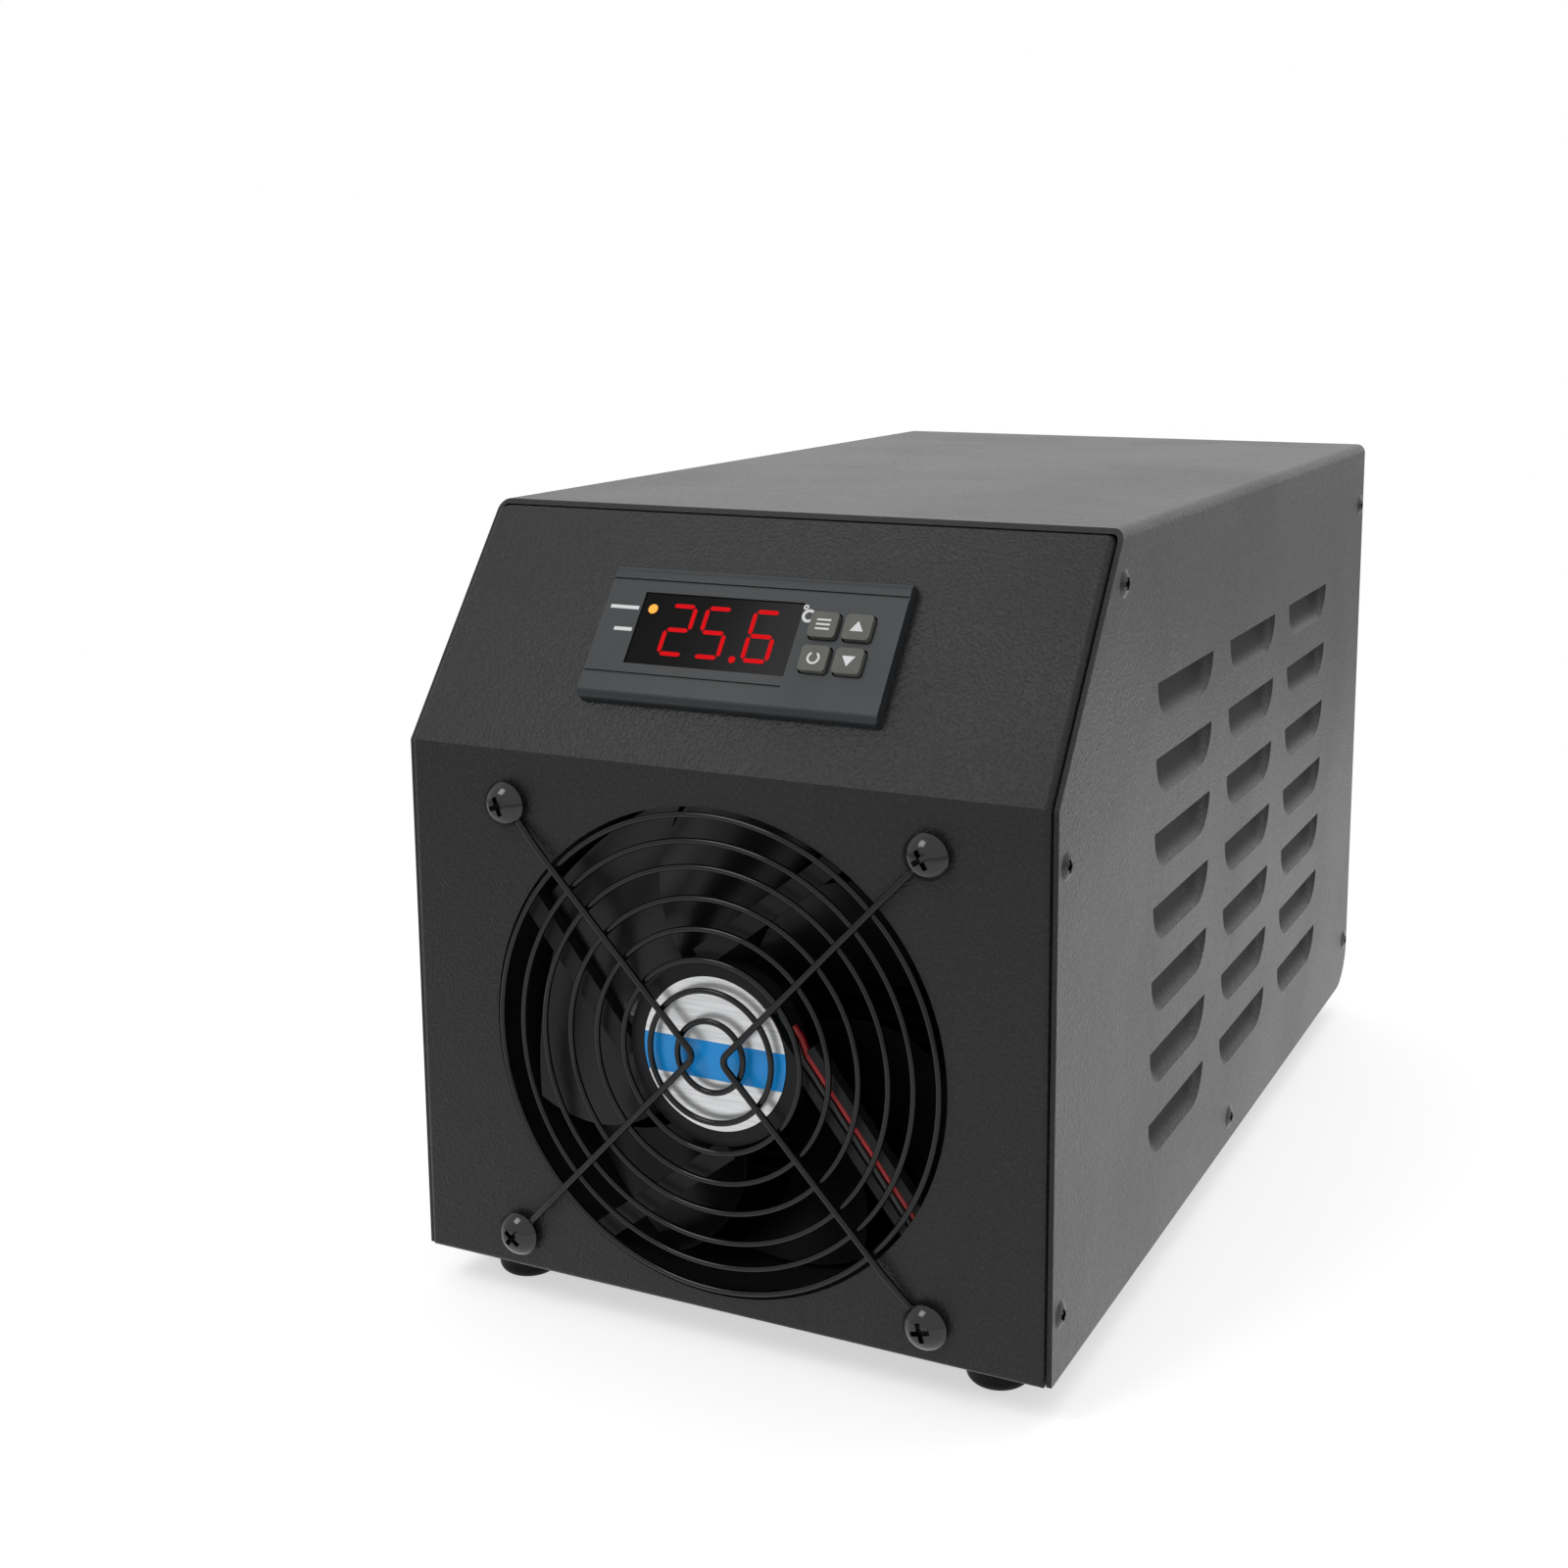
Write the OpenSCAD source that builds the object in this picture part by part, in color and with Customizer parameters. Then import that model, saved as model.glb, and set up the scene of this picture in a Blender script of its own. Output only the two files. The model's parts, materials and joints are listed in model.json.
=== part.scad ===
// Aquarium chiller in a folded sheet-metal case: fan and guard in front, panel thermostat on the
// sloping face, louvred cover, cold block and heat sink inside, hose spigots and mains inlet behind.
// The front faces -Y, +X is right and +Z is up; the origin is under the middle, on the floor.

/* [Case] */
// Width over the cover's two sides
case_w = 161; // [155:1:175]
// Depth from the cover's front edge to its rear edge
case_d = 288; // [280:1:320]
// Height of the cover above its own lower edge
case_h = 179; // [176:1:190]
// Height of the fold between the upright face and the slope
crease_h = 126; // [125:0.5:127.5]
// How far the slope leans back at its top
slope_back = 40; // [38:0.5:41]
// Thickness of the cover's sheet
cover_t = 1.2; // [1:0.1:1.5]
// Outer radius of the cover's long top bends
cover_bend_r = 2.6; // [2:0.1:3.5]
// How far the front panel's face stands out of the cover's front edge
panel_out = 1.6; // [1.2:0.1:2]
// How far the rear panel sits inside the cover's rear edge
rear_recess = 1.2; // [0.8:0.1:2]
// Radius of the lower rear corner, seen from the side
rear_corner_r = 13; // [10:0.5:14]

/* [Panels] */
// Thickness of the panels' and the tray's sheet
panel_t = 1.2; // [1:0.1:1.4]
// Depth of the panels' side flanges
flange_d = 12; // [11:0.5:14]
// Depth of the lip under the cover's top
lip_d = 12; // [10:0.5:14]
// Height of the tray's side flanges
tray_flange_h = 13; // [12:0.5:15]

/* [Feet] */
// Height of a rubber foot
foot_h = 10; // [8:0.5:13]
// Radius of a foot where it meets the case
foot_top_r = 9; // [8:0.25:10]
// Radius of a foot near the floor
foot_low_r = 7.5; // [7:0.25:7.75]
// Distance of each foot from the middle plane
foot_x = 62.5; // [62:0.5:64]
// Distance of the front feet from the cover's front edge
front_foot_y = 16; // [14:0.5:18]
// Distance of the rear feet from the cover's rear edge
rear_foot_y = 25; // [24:0.5:26]

/* [Louvres] */
// Louvres in a column
louvre_rows = 7; // [4:1:8]
// Columns of louvres on each side
louvre_cols = 3; // [2:1:3]
// Length of a louvre's slit
louvre_len = 46.5; // [40:0.5:50]
// Front end of the first column
louvre_first_y = 66; // [60:1:70]
// Distance between columns
louvre_pitch_y = 62.5; // [58:0.5:66]
// Height of the top row's slit
louvre_top_z = 140.5; // [138:0.5:145]
// Distance between rows
louvre_pitch_z = 17.9; // [17:0.1:19]
// Height of the pressed-in floor below its slit
louvre_drop = 9.5; // [8:0.25:10.5]
// Depth of the pressing at its slit
louvre_depth = 4; // [3:0.25:5]

/* [Cover screws] */
// Distance of the edge screws from the cover's front and rear edges
edge_screw_in = 5; // [4.8:0.1:6]
// Drop of the upper front screw below the crease
crease_screw_drop = 12.7; // [10:0.5:16]
// Distance of the slope's screw from the slope's upper end
slope_screw_end = 9.6; // [8:0.2:12]
// Place of the screw into the tray
tray_screw_y = 140.6; // [130:0.2:160]
// Head radius of a cover screw
cover_head_r = 3.2; // [3:0.1:3.5]

/* [Fan] */
// Side of the square fan
fan_size = 120; // [119:0.5:120.5]
// Depth of the fan
fan_depth = 25; // [25:0.5:27]
// Distance between the fan's corner holes
fan_pitch = 105; // [104:0.5:106]
// Radius of the opening in the front panel
fan_open_r = 57; // [56:0.25:57.5]
// Radius of the fixed motor cup
cup_r = 21.5; // [21:0.25:22.5]
// Depth of the motor cup
cup_d = 5; // [4.5:0.25:5.5]
// Radius of the round label's seat
label_r = 18; // [16:0.5:18.5]
// Width of the plain struts
strut_w = 5; // [4:0.5:6]
// Width of the strut that carries the leads
lead_strut_w = 8; // [7:0.5:9]
// Distance of a strut's centre line from the fan's axis
strut_offset = 19.3; // [18:0.1:20]
// Direction of the first strut, in degrees from +X
strut_angle = 38; // [30:1:45]

/* [Impeller] */
// Number of blades
blade_count = 7; // [5:1:9]
// Radius of the impeller's hub
hub_r = 20.5; // [20.25:0.25:21]
// Radius at the blade tips
tip_r = 56; // [55:0.25:56.5]
// Thickness of a blade at its middle
blade_t = 1.9; // [1.5:0.1:2.2]
// Turn of a blade from its front edge to its back edge, in degrees
blade_turn = 42; // [36:1:46]
// Sweep of a blade from its root to its tip, in degrees
blade_sweep = 24; // [10:1:30]
// Camber of a blade as a share of its depth
blade_camber_share = 0.13; // [0.05:0.01:0.2]

/* [Guard] */
// Number of rings
ring_count = 8; // [5:1:8]
// Radius of the smallest ring
ring_first_r = 8.3; // [7.8:0.1:8.8]
// Distance from ring to ring
ring_pitch = 7.05; // [6.8:0.05:7.2]
// How much closer each of the two outer rings lies
ring_tighten = 1.15; // [0.8:0.05:1.5]
// Wire radius of the rings
ring_wire_r = 0.7; // [0.6:0.05:0.8]
// Wire radius of the two bent legs
leg_wire_r = 0.8; // [0.75:0.05:0.9]
// Distance of each leg's bend from the middle plane
leg_tip_x = 3.2; // [2.6:0.1:4]
// Head radius of a guard screw
guard_head_r = 5.2; // [4.8:0.1:5.4]
// Head height of a guard screw
guard_head_h = 3; // [2.8:0.1:3.4]

/* [Thermostat] */
// Width of the thermostat's face
face_w = 75; // [74:0.5:77]
// Height of the thermostat's face
face_h = 34.5; // [34:0.25:36]
// Thickness of the face in front of the panel
face_t = 3; // [2.8:0.1:3.4]
// Wall behind the face
face_wall = 2; // [1.8:0.1:2.2]
// Distance of the face's middle above the crease, along the slope
face_up = 30.7; // [30:0.1:31.5]
// Depth of the rear case behind the panel
case_back = 48; // [44:0.5:50]
// Width of the window
window_w = 40.8; // [40:0.1:41.5]
// Height of the window
window_h = 18.3; // [18:0.1:18.6]
// Place of the window's middle, left of the face's middle
window_left = 7.4; // [7:0.1:7.8]
// Place of the window's middle, above the face's middle
window_up = 0.9; // [0.6:0.1:1.3]
// Width of a button
button_w = 6.6; // [6.2:0.1:6.8]
// Height of a button
button_h = 6.2; // [5.8:0.1:6.4]
// How far a button stands out of the face
button_out = 1.3; // [1:0.1:1.6]
// Place of the left column of buttons, right of the face's middle
button_left_x = 19.5; // [19:0.1:20]
// Distance between the two columns
button_pitch_x = 8.3; // [8.2:0.1:9]
// Place of the upper row, above the face's middle
button_upper_y = 4.5; // [4.3:0.1:4.9]
// Distance between the two rows
button_pitch_y = 8.3; // [8.2:0.1:8.8]

/* [Cooling core] */
// Width of the heat sink
sink_w = 130; // [120:1:134]
// Height of the heat sink
sink_h = 84; // [80:1:86]
// Length of the fins
fin_l = 34; // [30:1:35]
// Number of fins
fin_count = 20; // [16:1:22]
// Thickness of the heat sink's base
sink_base_t = 6; // [5:0.5:7]
// Side of a thermoelectric module
module_w = 40; // [38:0.5:41]
// Distance of each module from the middle plane
module_x = 24; // [22:0.5:25]
// Width of the cold block
block_w = 100; // [96:1:104]
// Height of the cold block
block_h = 46; // [44:0.5:48]
// Thickness of the cold block
block_t = 14; // [13:0.5:16]
// Thickness of the foam round the block
foam_t = 4; // [3:0.5:5]
// Bend radius of an inner hose
hose_bend_r = 22; // [20:1:24]
// Distance of each hose from the middle plane
hose_x = 24; // [23:0.5:26]

/* [Power supply] */
// Length of the power supply
psu_l = 148; // [140:1:152]
// Width of the power supply
psu_w = 98; // [90:1:104]
// Height of the power supply
psu_h = 38; // [34:1:39]
// Sheet of the power supply's case
psu_t = 1.4; // [1.2:0.1:1.6]
// Distance of the power supply from the front edge
psu_y = 116; // [115:1:120]

/* [Rear] */
// Height of the hose spigots above the case's lower edge
spigot_z = 128; // [124:1:132]
// Radius of a spigot's smooth land and of its ridges
spigot_r = 8; // [7.8:0.1:8.2]
// Bore radius of a spigot
spigot_bore_r = 5; // [4.8:0.1:5.2]
// Length of the smooth land
spigot_land_l = 9; // [8:0.5:10]
// Number of ridges
ridge_count = 4; // [3:1:5]
// Distance across the corners of a spigot's hexagon
hex_across = 27; // [25:0.5:28]
// Place of the mains inlet and the switch, right of the middle
inlet_x = 52; // [51:0.5:53]
// Height of the mains inlet's middle
inlet_z = 78; // [76:0.5:82]
// Height of the switch's middle
switch_z = 134; // [130:0.5:138]
// Width of the inlet's flange
inlet_w = 22.5; // [22:0.5:24]
// Height of the inlet's flange
inlet_h = 50; // [49:0.5:51]
// Depth of the socket
socket_d = 17; // [16:0.5:18]

/* [Hidden] */
$fn = 64;

// One overrun for every cut
cut = 1;
// Fine sizes
side_fit = 0.3;
panel_bend_r = 2.4;
front_bend_r = 1.4;
low_screw_z = 14.5;
slope_screw_in = 7;
rear_screw_drop = 19;
tray_screw_z = 7;
cover_head_h = 0.9;
cover_shank_r = 1.5;
cover_shank_l = 6;
fan_flange_t = 4;
fan_corner_r = 4;
fan_boss_r = 4.2;
fan_hole_r = 2.15;
cup_wall = 1.5;
label_t = 0.4;
strut_t = 3;
hub_wall = 1.9;
hub_gap = 1.2;
hub_back_gap = 1.2;
shaft_r = 1.5;
shaft_fit = 0.03;
bearing_r = 4;
bearing_l = 3;
tube_wall = 1.3;
pole_r = 15.8;
magnet_r = 16.6;
weld_d = 0.3;
bend_swell = 0.04;
leg_knee_r = 60.5;
eye_fit = 0.2;
guard_head_flat_r = 2.2;
guard_shank_r = 2.05;
guard_shank_l = 18;
face_edge_r = 2.2;
cutout_w = 71;
cutout_h = 29;
cutout_fit = 0.3;
skirt_l = 6;
case_wall = 1.6;
window_fit = 0.15;
button_r = 1;
button_travel = 0.5;
button_fit = 0.3;
channel_r = 4;
hose_bore_r = 6.05;
hose_r = 8;
spigot_root_r = 7.1;
ridge_l = 4;
hex_t = 5;
thread_r = 9;
socket_w = 16.6;
socket_h = 24.6;
inlet_pitch = 40;
sink_gap = 7.4;
fin_t = 1.4;
module_t = 3.9;
foot_edge_r = 2.5;
tray_overlap = 12;
duct_out_r = 59.4;
duct_r = 57.6;
// Lift of the fan above the front panel's foot
fan_lift = 0.3;
// Gap between the fan and the tray's front edge
tray_gap = 4.8;
// Radial clearance of a screw in a plain hole
screw_fit = 0.25;
// Radial clearance of a self-tapping screw in its pilot hole
pilot_fit = 0.05;
// Height of the foot screws' heads
foot_head_h = 2.4;
// Head radius of the foot screws
foot_head_r = 3.6;
// Shank radius of the foot and frame screws
foot_shank_r = 1.6;
// How far the foot and frame screws stand above their sheets
foot_screw_out = 3;
// Depth of a foot's rubber above the screw's head
foot_web = 4;
// Distance of the frame screws from the middle plane
frame_screw_x = 54;
// Width and depth of the cross in a screw's head
cross_w = 1.2;
cross_depth_share = 0.8;
// Length of the cross as a share of the head's diameter
cross_share = 0.44;

// Derived sizes of the case
slope_angle = atan2(case_h - crease_h, slope_back);
slope_len = norm([slope_back, case_h - crease_h]);
panel_w = case_w - 2 * (cover_t + side_fit);
lip_z = case_h - cover_t - side_fit;
panel_y = -panel_out;
fan_y = panel_y + panel_t;
fan_z = panel_t + fan_lift + fan_size / 2;
tray_y0 = fan_y + fan_depth + tray_gap;
tray_y1 = case_d - tray_y0;
rear_y = case_d - rear_recess;
tray_z = 2 * panel_t;
guard_head_top = guard_head_h * (1 - guard_head_flat_r / guard_head_r / 4);
eye_wire_r = leg_wire_r + bend_swell;
front_screw_reach = guard_head_top + 2 * eye_wire_r + panel_out;
spigot_reach = hex_t + spigot_land_l + ridge_l * ridge_count;
seal_t = 1.5;
rear_reach = spigot_reach + seal_t - rear_recess;
front_y = (front_screw_reach - rear_reach - case_d) / 2;

lead_r = 0.75;
wire_gap = 0.1;
tab_l = 8;
pcb_t = 1.6;
board_lift = 4.2;
psu_board_z = tray_z + psu_t + board_lift;
psu_wall_gap = 0.3;
slot_count = 7;
slot_pitch = (psu_w - 2 * (psu_t + psu_wall_gap)) / slot_count;
slot_share = 0.7;
slot_d = 10;
terminal_in = 0.7;
terminal_body_h = 13.8;
slot_end_y = psu_y + terminal_in + slot_d;

// Places of one side's cover screws, as [y, z] in the case
slope_screw = [0, crease_h]
  + (slope_len - slope_screw_end) * [cos(slope_angle), sin(slope_angle)]
  + slope_screw_in * [sin(slope_angle), -cos(slope_angle)];
side_screws = [
  slope_screw,
  [edge_screw_in, crease_h - crease_screw_drop],
  [edge_screw_in, low_screw_z],
  [case_d - edge_screw_in, case_h - rear_screw_drop],
  [case_d - edge_screw_in, low_screw_z],
  [tray_screw_y, tray_screw_z]
];
feet_places = [for (x = [-foot_x, foot_x], y = [front_foot_y, case_d - rear_foot_y]) [x, y]];
frame_places = [for (x = [-frame_screw_x, frame_screw_x],
  y = [tray_y0 + tray_overlap / 2, tray_y1 - tray_overlap / 2]) [x, y]];

// Height at which a plane set back by d from the cover's front meets its slope
function crease_z(d) = crease_h - d * (1 - sin(slope_angle)) / cos(slope_angle);
// Distance from the front of the slope set back by d, at height z
function slope_y(d, z) = (cos(slope_angle) * (z - crease_h) + d) / sin(slope_angle);

// Extrusions that place a drawn outline upright
module along_y(from, len) {
  translate([0, from + len, 0]) rotate([90, 0, 0]) linear_extrude(len) children();
}
module along_x(from, len) {
  translate([from, 0, 0]) rotate([90, 0, 90]) linear_extrude(len) children();
}
// A cylinder along +Y from a place, and a tube along +Y
module rod_y(r, from, len, x = 0, z = 0) {
  translate([x, from, z]) rotate([-90, 0, 0]) cylinder(h = len, r = r);
}
module hole_y(r, from, len, x = 0, z = 0) {
  rod_y(r, from - cut, len + 2 * cut, x, z);
}
module rod_x(r, from, len, y = 0, z = 0) {
  translate([from, y, z]) rotate([0, 90, 0]) cylinder(h = len, r = r);
}
module box(low, high) {
  translate(low) cube(high - low);
}
module mirrored() {
  children();
  mirror([1, 0, 0]) children();
}
module round_rect(w, h, r) {
  square([w - 2 * r, h], center = true);
  square([w, h - 2 * r], center = true);
  for (x = [-1, 1], y = [-1, 1])
    translate([x * (w / 2 - r), y * (h / 2 - r)]) circle(r);
}
// Puts the case's own frame, which starts at its front edge and lower edge, in the part's frame
module in_case() {
  translate([0, front_y, foot_h]) children();
}
module in_fan() {
  in_case() translate([0, 0, fan_z]) children();
}
// The slope's frame: x across, y up the slope from the crease, z out of the panel
module on_slope() {
  translate([0, panel_y * sin(slope_angle), crease_h - panel_y * cos(slope_angle)])
    rotate([slope_angle, 0, 0]) children();
}
// The thermostat's frame, centred on its face, with z = 0 on the panel
module on_face() {
  on_slope() translate([0, face_up, 0]) children();
}

// A screw with a domed head: z = 0 under the head, the shank goes down
module screw(head_r, head_h, shank_r, shank_l, flat_r = 0) {
  dome_r = (head_r * head_r + head_h * head_h) / (2 * head_h);
  difference() {
    union() {
      intersection() {
        translate([0, 0, head_h - dome_r]) sphere(dome_r);
        cylinder(h = head_h - head_h * flat_r / head_r / 4, r = head_r);
      }
      translate([0, 0, -shank_l]) cylinder(h = shank_l + head_h / 4, r = shank_r);
    }
    for (a = [0, 90])
      rotate([0, 0, a]) translate([0, 0, head_h])
        cube([2 * head_r * cross_share, cross_w, 2 * head_h * cross_depth_share],
          center = true);
  }
}
// A screw whose head faces -Y, with its seat at a place
module screw_front(x, y, z, head_r, head_h, shank_r, shank_l, flat_r = 0, turn = 45) {
  translate([x, y, z]) rotate([90, 0, 0]) rotate([0, 0, turn])
    screw(head_r, head_h, shank_r, shank_l, flat_r);
}

// Side outline of the whole case
module side_outline() {
  difference() {
    polygon([[0, 0], [0, crease_h], [slope_back, case_h], [case_d, case_h], [case_d, 0]]);
    difference() {
      translate([case_d - rear_corner_r, -cut])
        square([rear_corner_r + cut, rear_corner_r + cut]);
      translate([case_d - rear_corner_r, rear_corner_r]) circle(rear_corner_r);
    }
  }
}
// Section of the cover's folded sheet
module cover_section() {
  inner_r = cover_bend_r - cover_t;
  difference() {
    arch(case_w, case_h, cover_bend_r);
    translate([0, -cut]) arch(case_w - 2 * cover_t, case_h - cover_t + cut, inner_r);
  }
}
module arch(w, h, r) {
  translate([-w / 2, 0]) square([w, h - r]);
  translate([r - w / 2, 0]) square([w - 2 * r, h]);
  for (x = [-1, 1]) translate([x * (w / 2 - r), h - r]) circle(r);
}
// One row of louvres as long round-ended pressings, grown by a wall, below their slits
module louvre_row(grow, z, out_x) {
  press_r = (louvre_drop * louvre_drop + louvre_depth * louvre_depth) / (2 * louvre_depth);
  axis_x = case_w / 2 + press_r - louvre_depth;
  reach = (press_r + grow) * 2;
  intersection() {
    for (i = [0 : louvre_cols - 1]) {
      y0 = louvre_first_y + i * louvre_pitch_y + louvre_drop;
      y1 = y0 + louvre_len - 2 * louvre_drop;
      translate([axis_x, y0, z]) rotate([-90, 0, 0])
        cylinder(h = y1 - y0, r = press_r + grow);
      for (y = [y0, y1]) translate([axis_x, y, z]) sphere(press_r + grow);
    }
    box([0, 0, z - reach], [out_x, case_d, z]);
  }
}
module louvres(grow, out_x) {
  for (j = [0 : louvre_rows - 1]) louvre_row(grow, louvre_top_z - j * louvre_pitch_z, out_x);
}
module cover() {
  in_case() color([0.16, 0.16, 0.17]) difference() {
    union() {
      intersection() {
        along_y(0, case_d) cover_section();
        along_x(-case_w / 2, case_w) side_outline();
      }
      mirrored() louvres(cover_t, case_w / 2 - cover_t / 2);
    }
    mirrored() louvres(0, case_w / 2 + cut);
    mirrored() for (p = side_screws)
      rod_x(cover_shank_r + screw_fit, case_w / 2 - cover_t - cut, cover_t + 2 * cut,
        p[0], p[1]);
  }
}
module cover_screws() {
  in_case() color([0.1, 0.1, 0.1]) mirrored() for (p = side_screws)
    translate([case_w / 2, p[0], p[1]]) rotate([0, 90, 0])
      screw(cover_head_r, cover_head_h, cover_shank_r, cover_shank_l);
}

// Folded channel: a sheet of width w, with flanges of depth d and rounded bends
module channel_section(w, d) {
  r = panel_bend_r;
  ri = panel_bend_r - panel_t;
  difference() {
    channel_block(w, d, r);
    translate([0, panel_t]) channel_block(w - 2 * panel_t, d, ri);
  }
}
module channel_block(w, d, r) {
  translate([-w / 2, r]) square([w, d - r]);
  translate([r - w / 2, 0]) square([w - 2 * r, d]);
  for (x = [-1, 1]) translate([x * (w / 2 - r), r]) circle(r);
}
module flange_holes(places) {
  mirrored() for (p = places)
    rod_x(cover_shank_r + pilot_fit, panel_w / 2 - panel_t - cut, panel_t + 2 * cut,
      p[0], p[1]);
}
// Side outline of the front panel: a band of depth d behind its outer skin
module front_band(d) {
  top = lip_z;
  polygon([[panel_y, 0], [panel_y, crease_z(panel_y)], [slope_y(panel_y, top), top],
    [slope_y(panel_y + d, top), top], [panel_y + d, crease_z(panel_y + d)], [panel_y + d, 0]]);
}
// What rounds a corner at the origin whose sides run along +X and +Y
module corner_cutter(r) {
  difference() {
    translate([-cut, -cut]) square(r + cut);
    translate([r, r]) circle(r);
  }
}
// Rounds the panels' top corners under the cover's bends
module top_corners() {
  mirrored() along_y(-cut, case_d + 2 * cut) translate([-panel_w / 2, lip_z])
    mirror([0, 1]) corner_cutter(panel_bend_r);
}
module front_panel() {
  lip_y = slope_y(panel_y + panel_t, lip_z);
  foot_back = tray_y0 + tray_overlap;
  in_case() color([0.13, 0.13, 0.14]) difference() {
    difference() {
      union() {
        along_x(-panel_w / 2, panel_w) front_band(panel_t);
        mirrored() along_x(panel_w / 2 - panel_t, panel_t) front_band(flange_d);
        box([-panel_w / 2, lip_y - panel_t, lip_z - panel_t],
          [panel_w / 2, lip_y + lip_d, lip_z]);
        box([-panel_w / 2, panel_y + panel_t / 2, 0], [panel_w / 2, foot_back, panel_t]);
      }
      for (s = [0, 1]) mirror([s, 0, 0]) translate([-panel_w / 2, panel_y, -cut])
        linear_extrude(crease_h + 4 * front_bend_r) corner_cutter(front_bend_r);
    }
    for (s = [0, 1]) mirror([s, 0, 0])
      on_slope() translate([-panel_w / 2, -4 * front_bend_r, 0]) rotate([-90, 0, 0])
        linear_extrude(slope_len + 4 * front_bend_r + cut) corner_cutter(front_bend_r);
    along_x(-case_w, 2 * case_w) translate([panel_y, 0]) corner_cutter(front_bend_r);
    top_corners();
    hole_y(fan_open_r, panel_y, panel_t, 0, fan_z);
    for (x = [-1, 1], z = [-1, 1])
      hole_y(guard_shank_r + screw_fit, panel_y, panel_t,
        x * fan_pitch / 2, fan_z + z * fan_pitch / 2);
    on_face() translate([0, 0, -panel_t / 2])
      cube([cutout_w, cutout_h, panel_t + 2 * cut], center = true);
    flange_holes([side_screws[0], side_screws[1], side_screws[2]]);
    foot_holes(front_foot_y);
    for (x = [-1, 1]) translate([x * frame_screw_x, tray_y0 + tray_overlap / 2, -cut])
      cylinder(h = panel_t + 2 * cut, r = foot_shank_r + screw_fit);
  }
}
module foot_holes(y) {
  for (x = [-1, 1]) translate([x * foot_x, y, -cut])
    cylinder(h = panel_t + 2 * cut, r = foot_shank_r + pilot_fit);
}

// Region inside the rear panel's outer skin, set in by d, seen from the side
module rear_region(d) {
  r = rear_corner_r - rear_recess;
  y1 = rear_y;
  top = lip_z - d;
  translate([tray_y1 - tray_overlap - cut, d])
    square([y1 - r - (tray_y1 - tray_overlap - cut), top - d]);
  translate([y1 - r - cut, r]) square([r + cut - d, top - r]);
  translate([y1 - r, r]) circle(r - d);
}
module rear_panel() {
  in_case() color([0.13, 0.13, 0.14]) difference() {
    union() {
      along_x(-panel_w / 2, panel_w) difference() {
        rear_region(0);
        rear_region(panel_t);
        rear_cutback(panel_t);
      }
      mirrored() along_x(panel_w / 2 - panel_t, panel_t) difference() {
        rear_region(0);
        rear_cutback(flange_d);
      }
    }
    top_corners();
    for (s = [0, 1]) mirror([s, 0, 0]) translate([-panel_w / 2, rear_y, -cut])
      linear_extrude(case_h) mirror([0, 1]) corner_cutter(panel_bend_r);
    for (x = [-hose_x, hose_x]) hole_y(thread_r + screw_fit, rear_y - panel_t, panel_t, x, spigot_z);
    translate([inlet_x, rear_y, inlet_z]) rear_cut()
      square([socket_w + 2 * inlet_wall + 2 * cutout_fit,
        socket_h + 2 * inlet_wall + 2 * cutout_fit], center = true);
    for (z = [-1, 1]) hole_y(inlet_screw_r + pilot_fit, rear_y - panel_t, panel_t, inlet_x,
      inlet_z + z * inlet_pitch / 2);
    translate([inlet_x, rear_y, switch_z]) rear_cut()
      square([switch_w + 2 * cutout_fit, switch_h + 2 * cutout_fit], center = true);
    for (i = [0 : vent_count - 1])
      translate([(i - (vent_count - 1) / 2) * vent_pitch - vent_left, rear_y, vent_z])
        rear_cut() round_rect(vent_w, vent_h, vent_w / 2 - vent_w / 50);
    flange_holes([side_screws[3], side_screws[4]]);
    foot_holes(case_d - rear_foot_y);
    for (x = [-1, 1]) translate([x * frame_screw_x, tray_y1 - tray_overlap / 2, -cut])
      cylinder(h = panel_t + 2 * cut, r = foot_shank_r + screw_fit);
  }
}
module rear_cut() {
  translate([0, cut, 0]) rotate([90, 0, 0]) linear_extrude(panel_t + 2 * cut) children();
}
// What is cut away in front of the rear panel: all but a depth d behind the outer skin
module rear_cutback(d) {
  r = rear_corner_r - rear_recess;
  low = d > panel_t ? -cut : panel_t;
  translate([tray_y1 - tray_overlap - 2 * cut, low])
    square([rear_y - d - (tray_y1 - tray_overlap - 2 * cut), lip_z - low + cut]);
}

// Rear vent slots
vent_count = 9;
vent_pitch = 8;
vent_w = 3.4;
vent_h = 46;
vent_z = 52;
vent_left = 22;

module base_tray() {
  in_case() color([0.13, 0.13, 0.14]) difference() {
    translate([0, tray_y1, 0]) rotate([90, 0, 0]) linear_extrude(tray_y1 - tray_y0)
      translate([0, panel_t]) channel_section(panel_w, tray_flange_h);
    flange_holes([side_screws[5]]);
    for (p = frame_places) translate([p[0], p[1], 0])
      cylinder(h = tray_z + cut, r = foot_shank_r + pilot_fit);
    for (p = bracket_places) translate([p[0], p[1], 0])
      cylinder(h = tray_z + cut, r = small_shank_r + pilot_fit);
    for (p = supply_places) translate([p[0], p[1], 0])
      cylinder(h = tray_z + cut, r = small_shank_r + screw_fit);
  }
}
module frame_screws() {
  in_case() color([0.1, 0.1, 0.1]) for (p = frame_places)
    translate([p[0], p[1], 0]) rotate([180, 0, 0])
      screw(foot_head_r, foot_head_h, foot_shank_r, tray_z + foot_screw_out);
}

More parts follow.
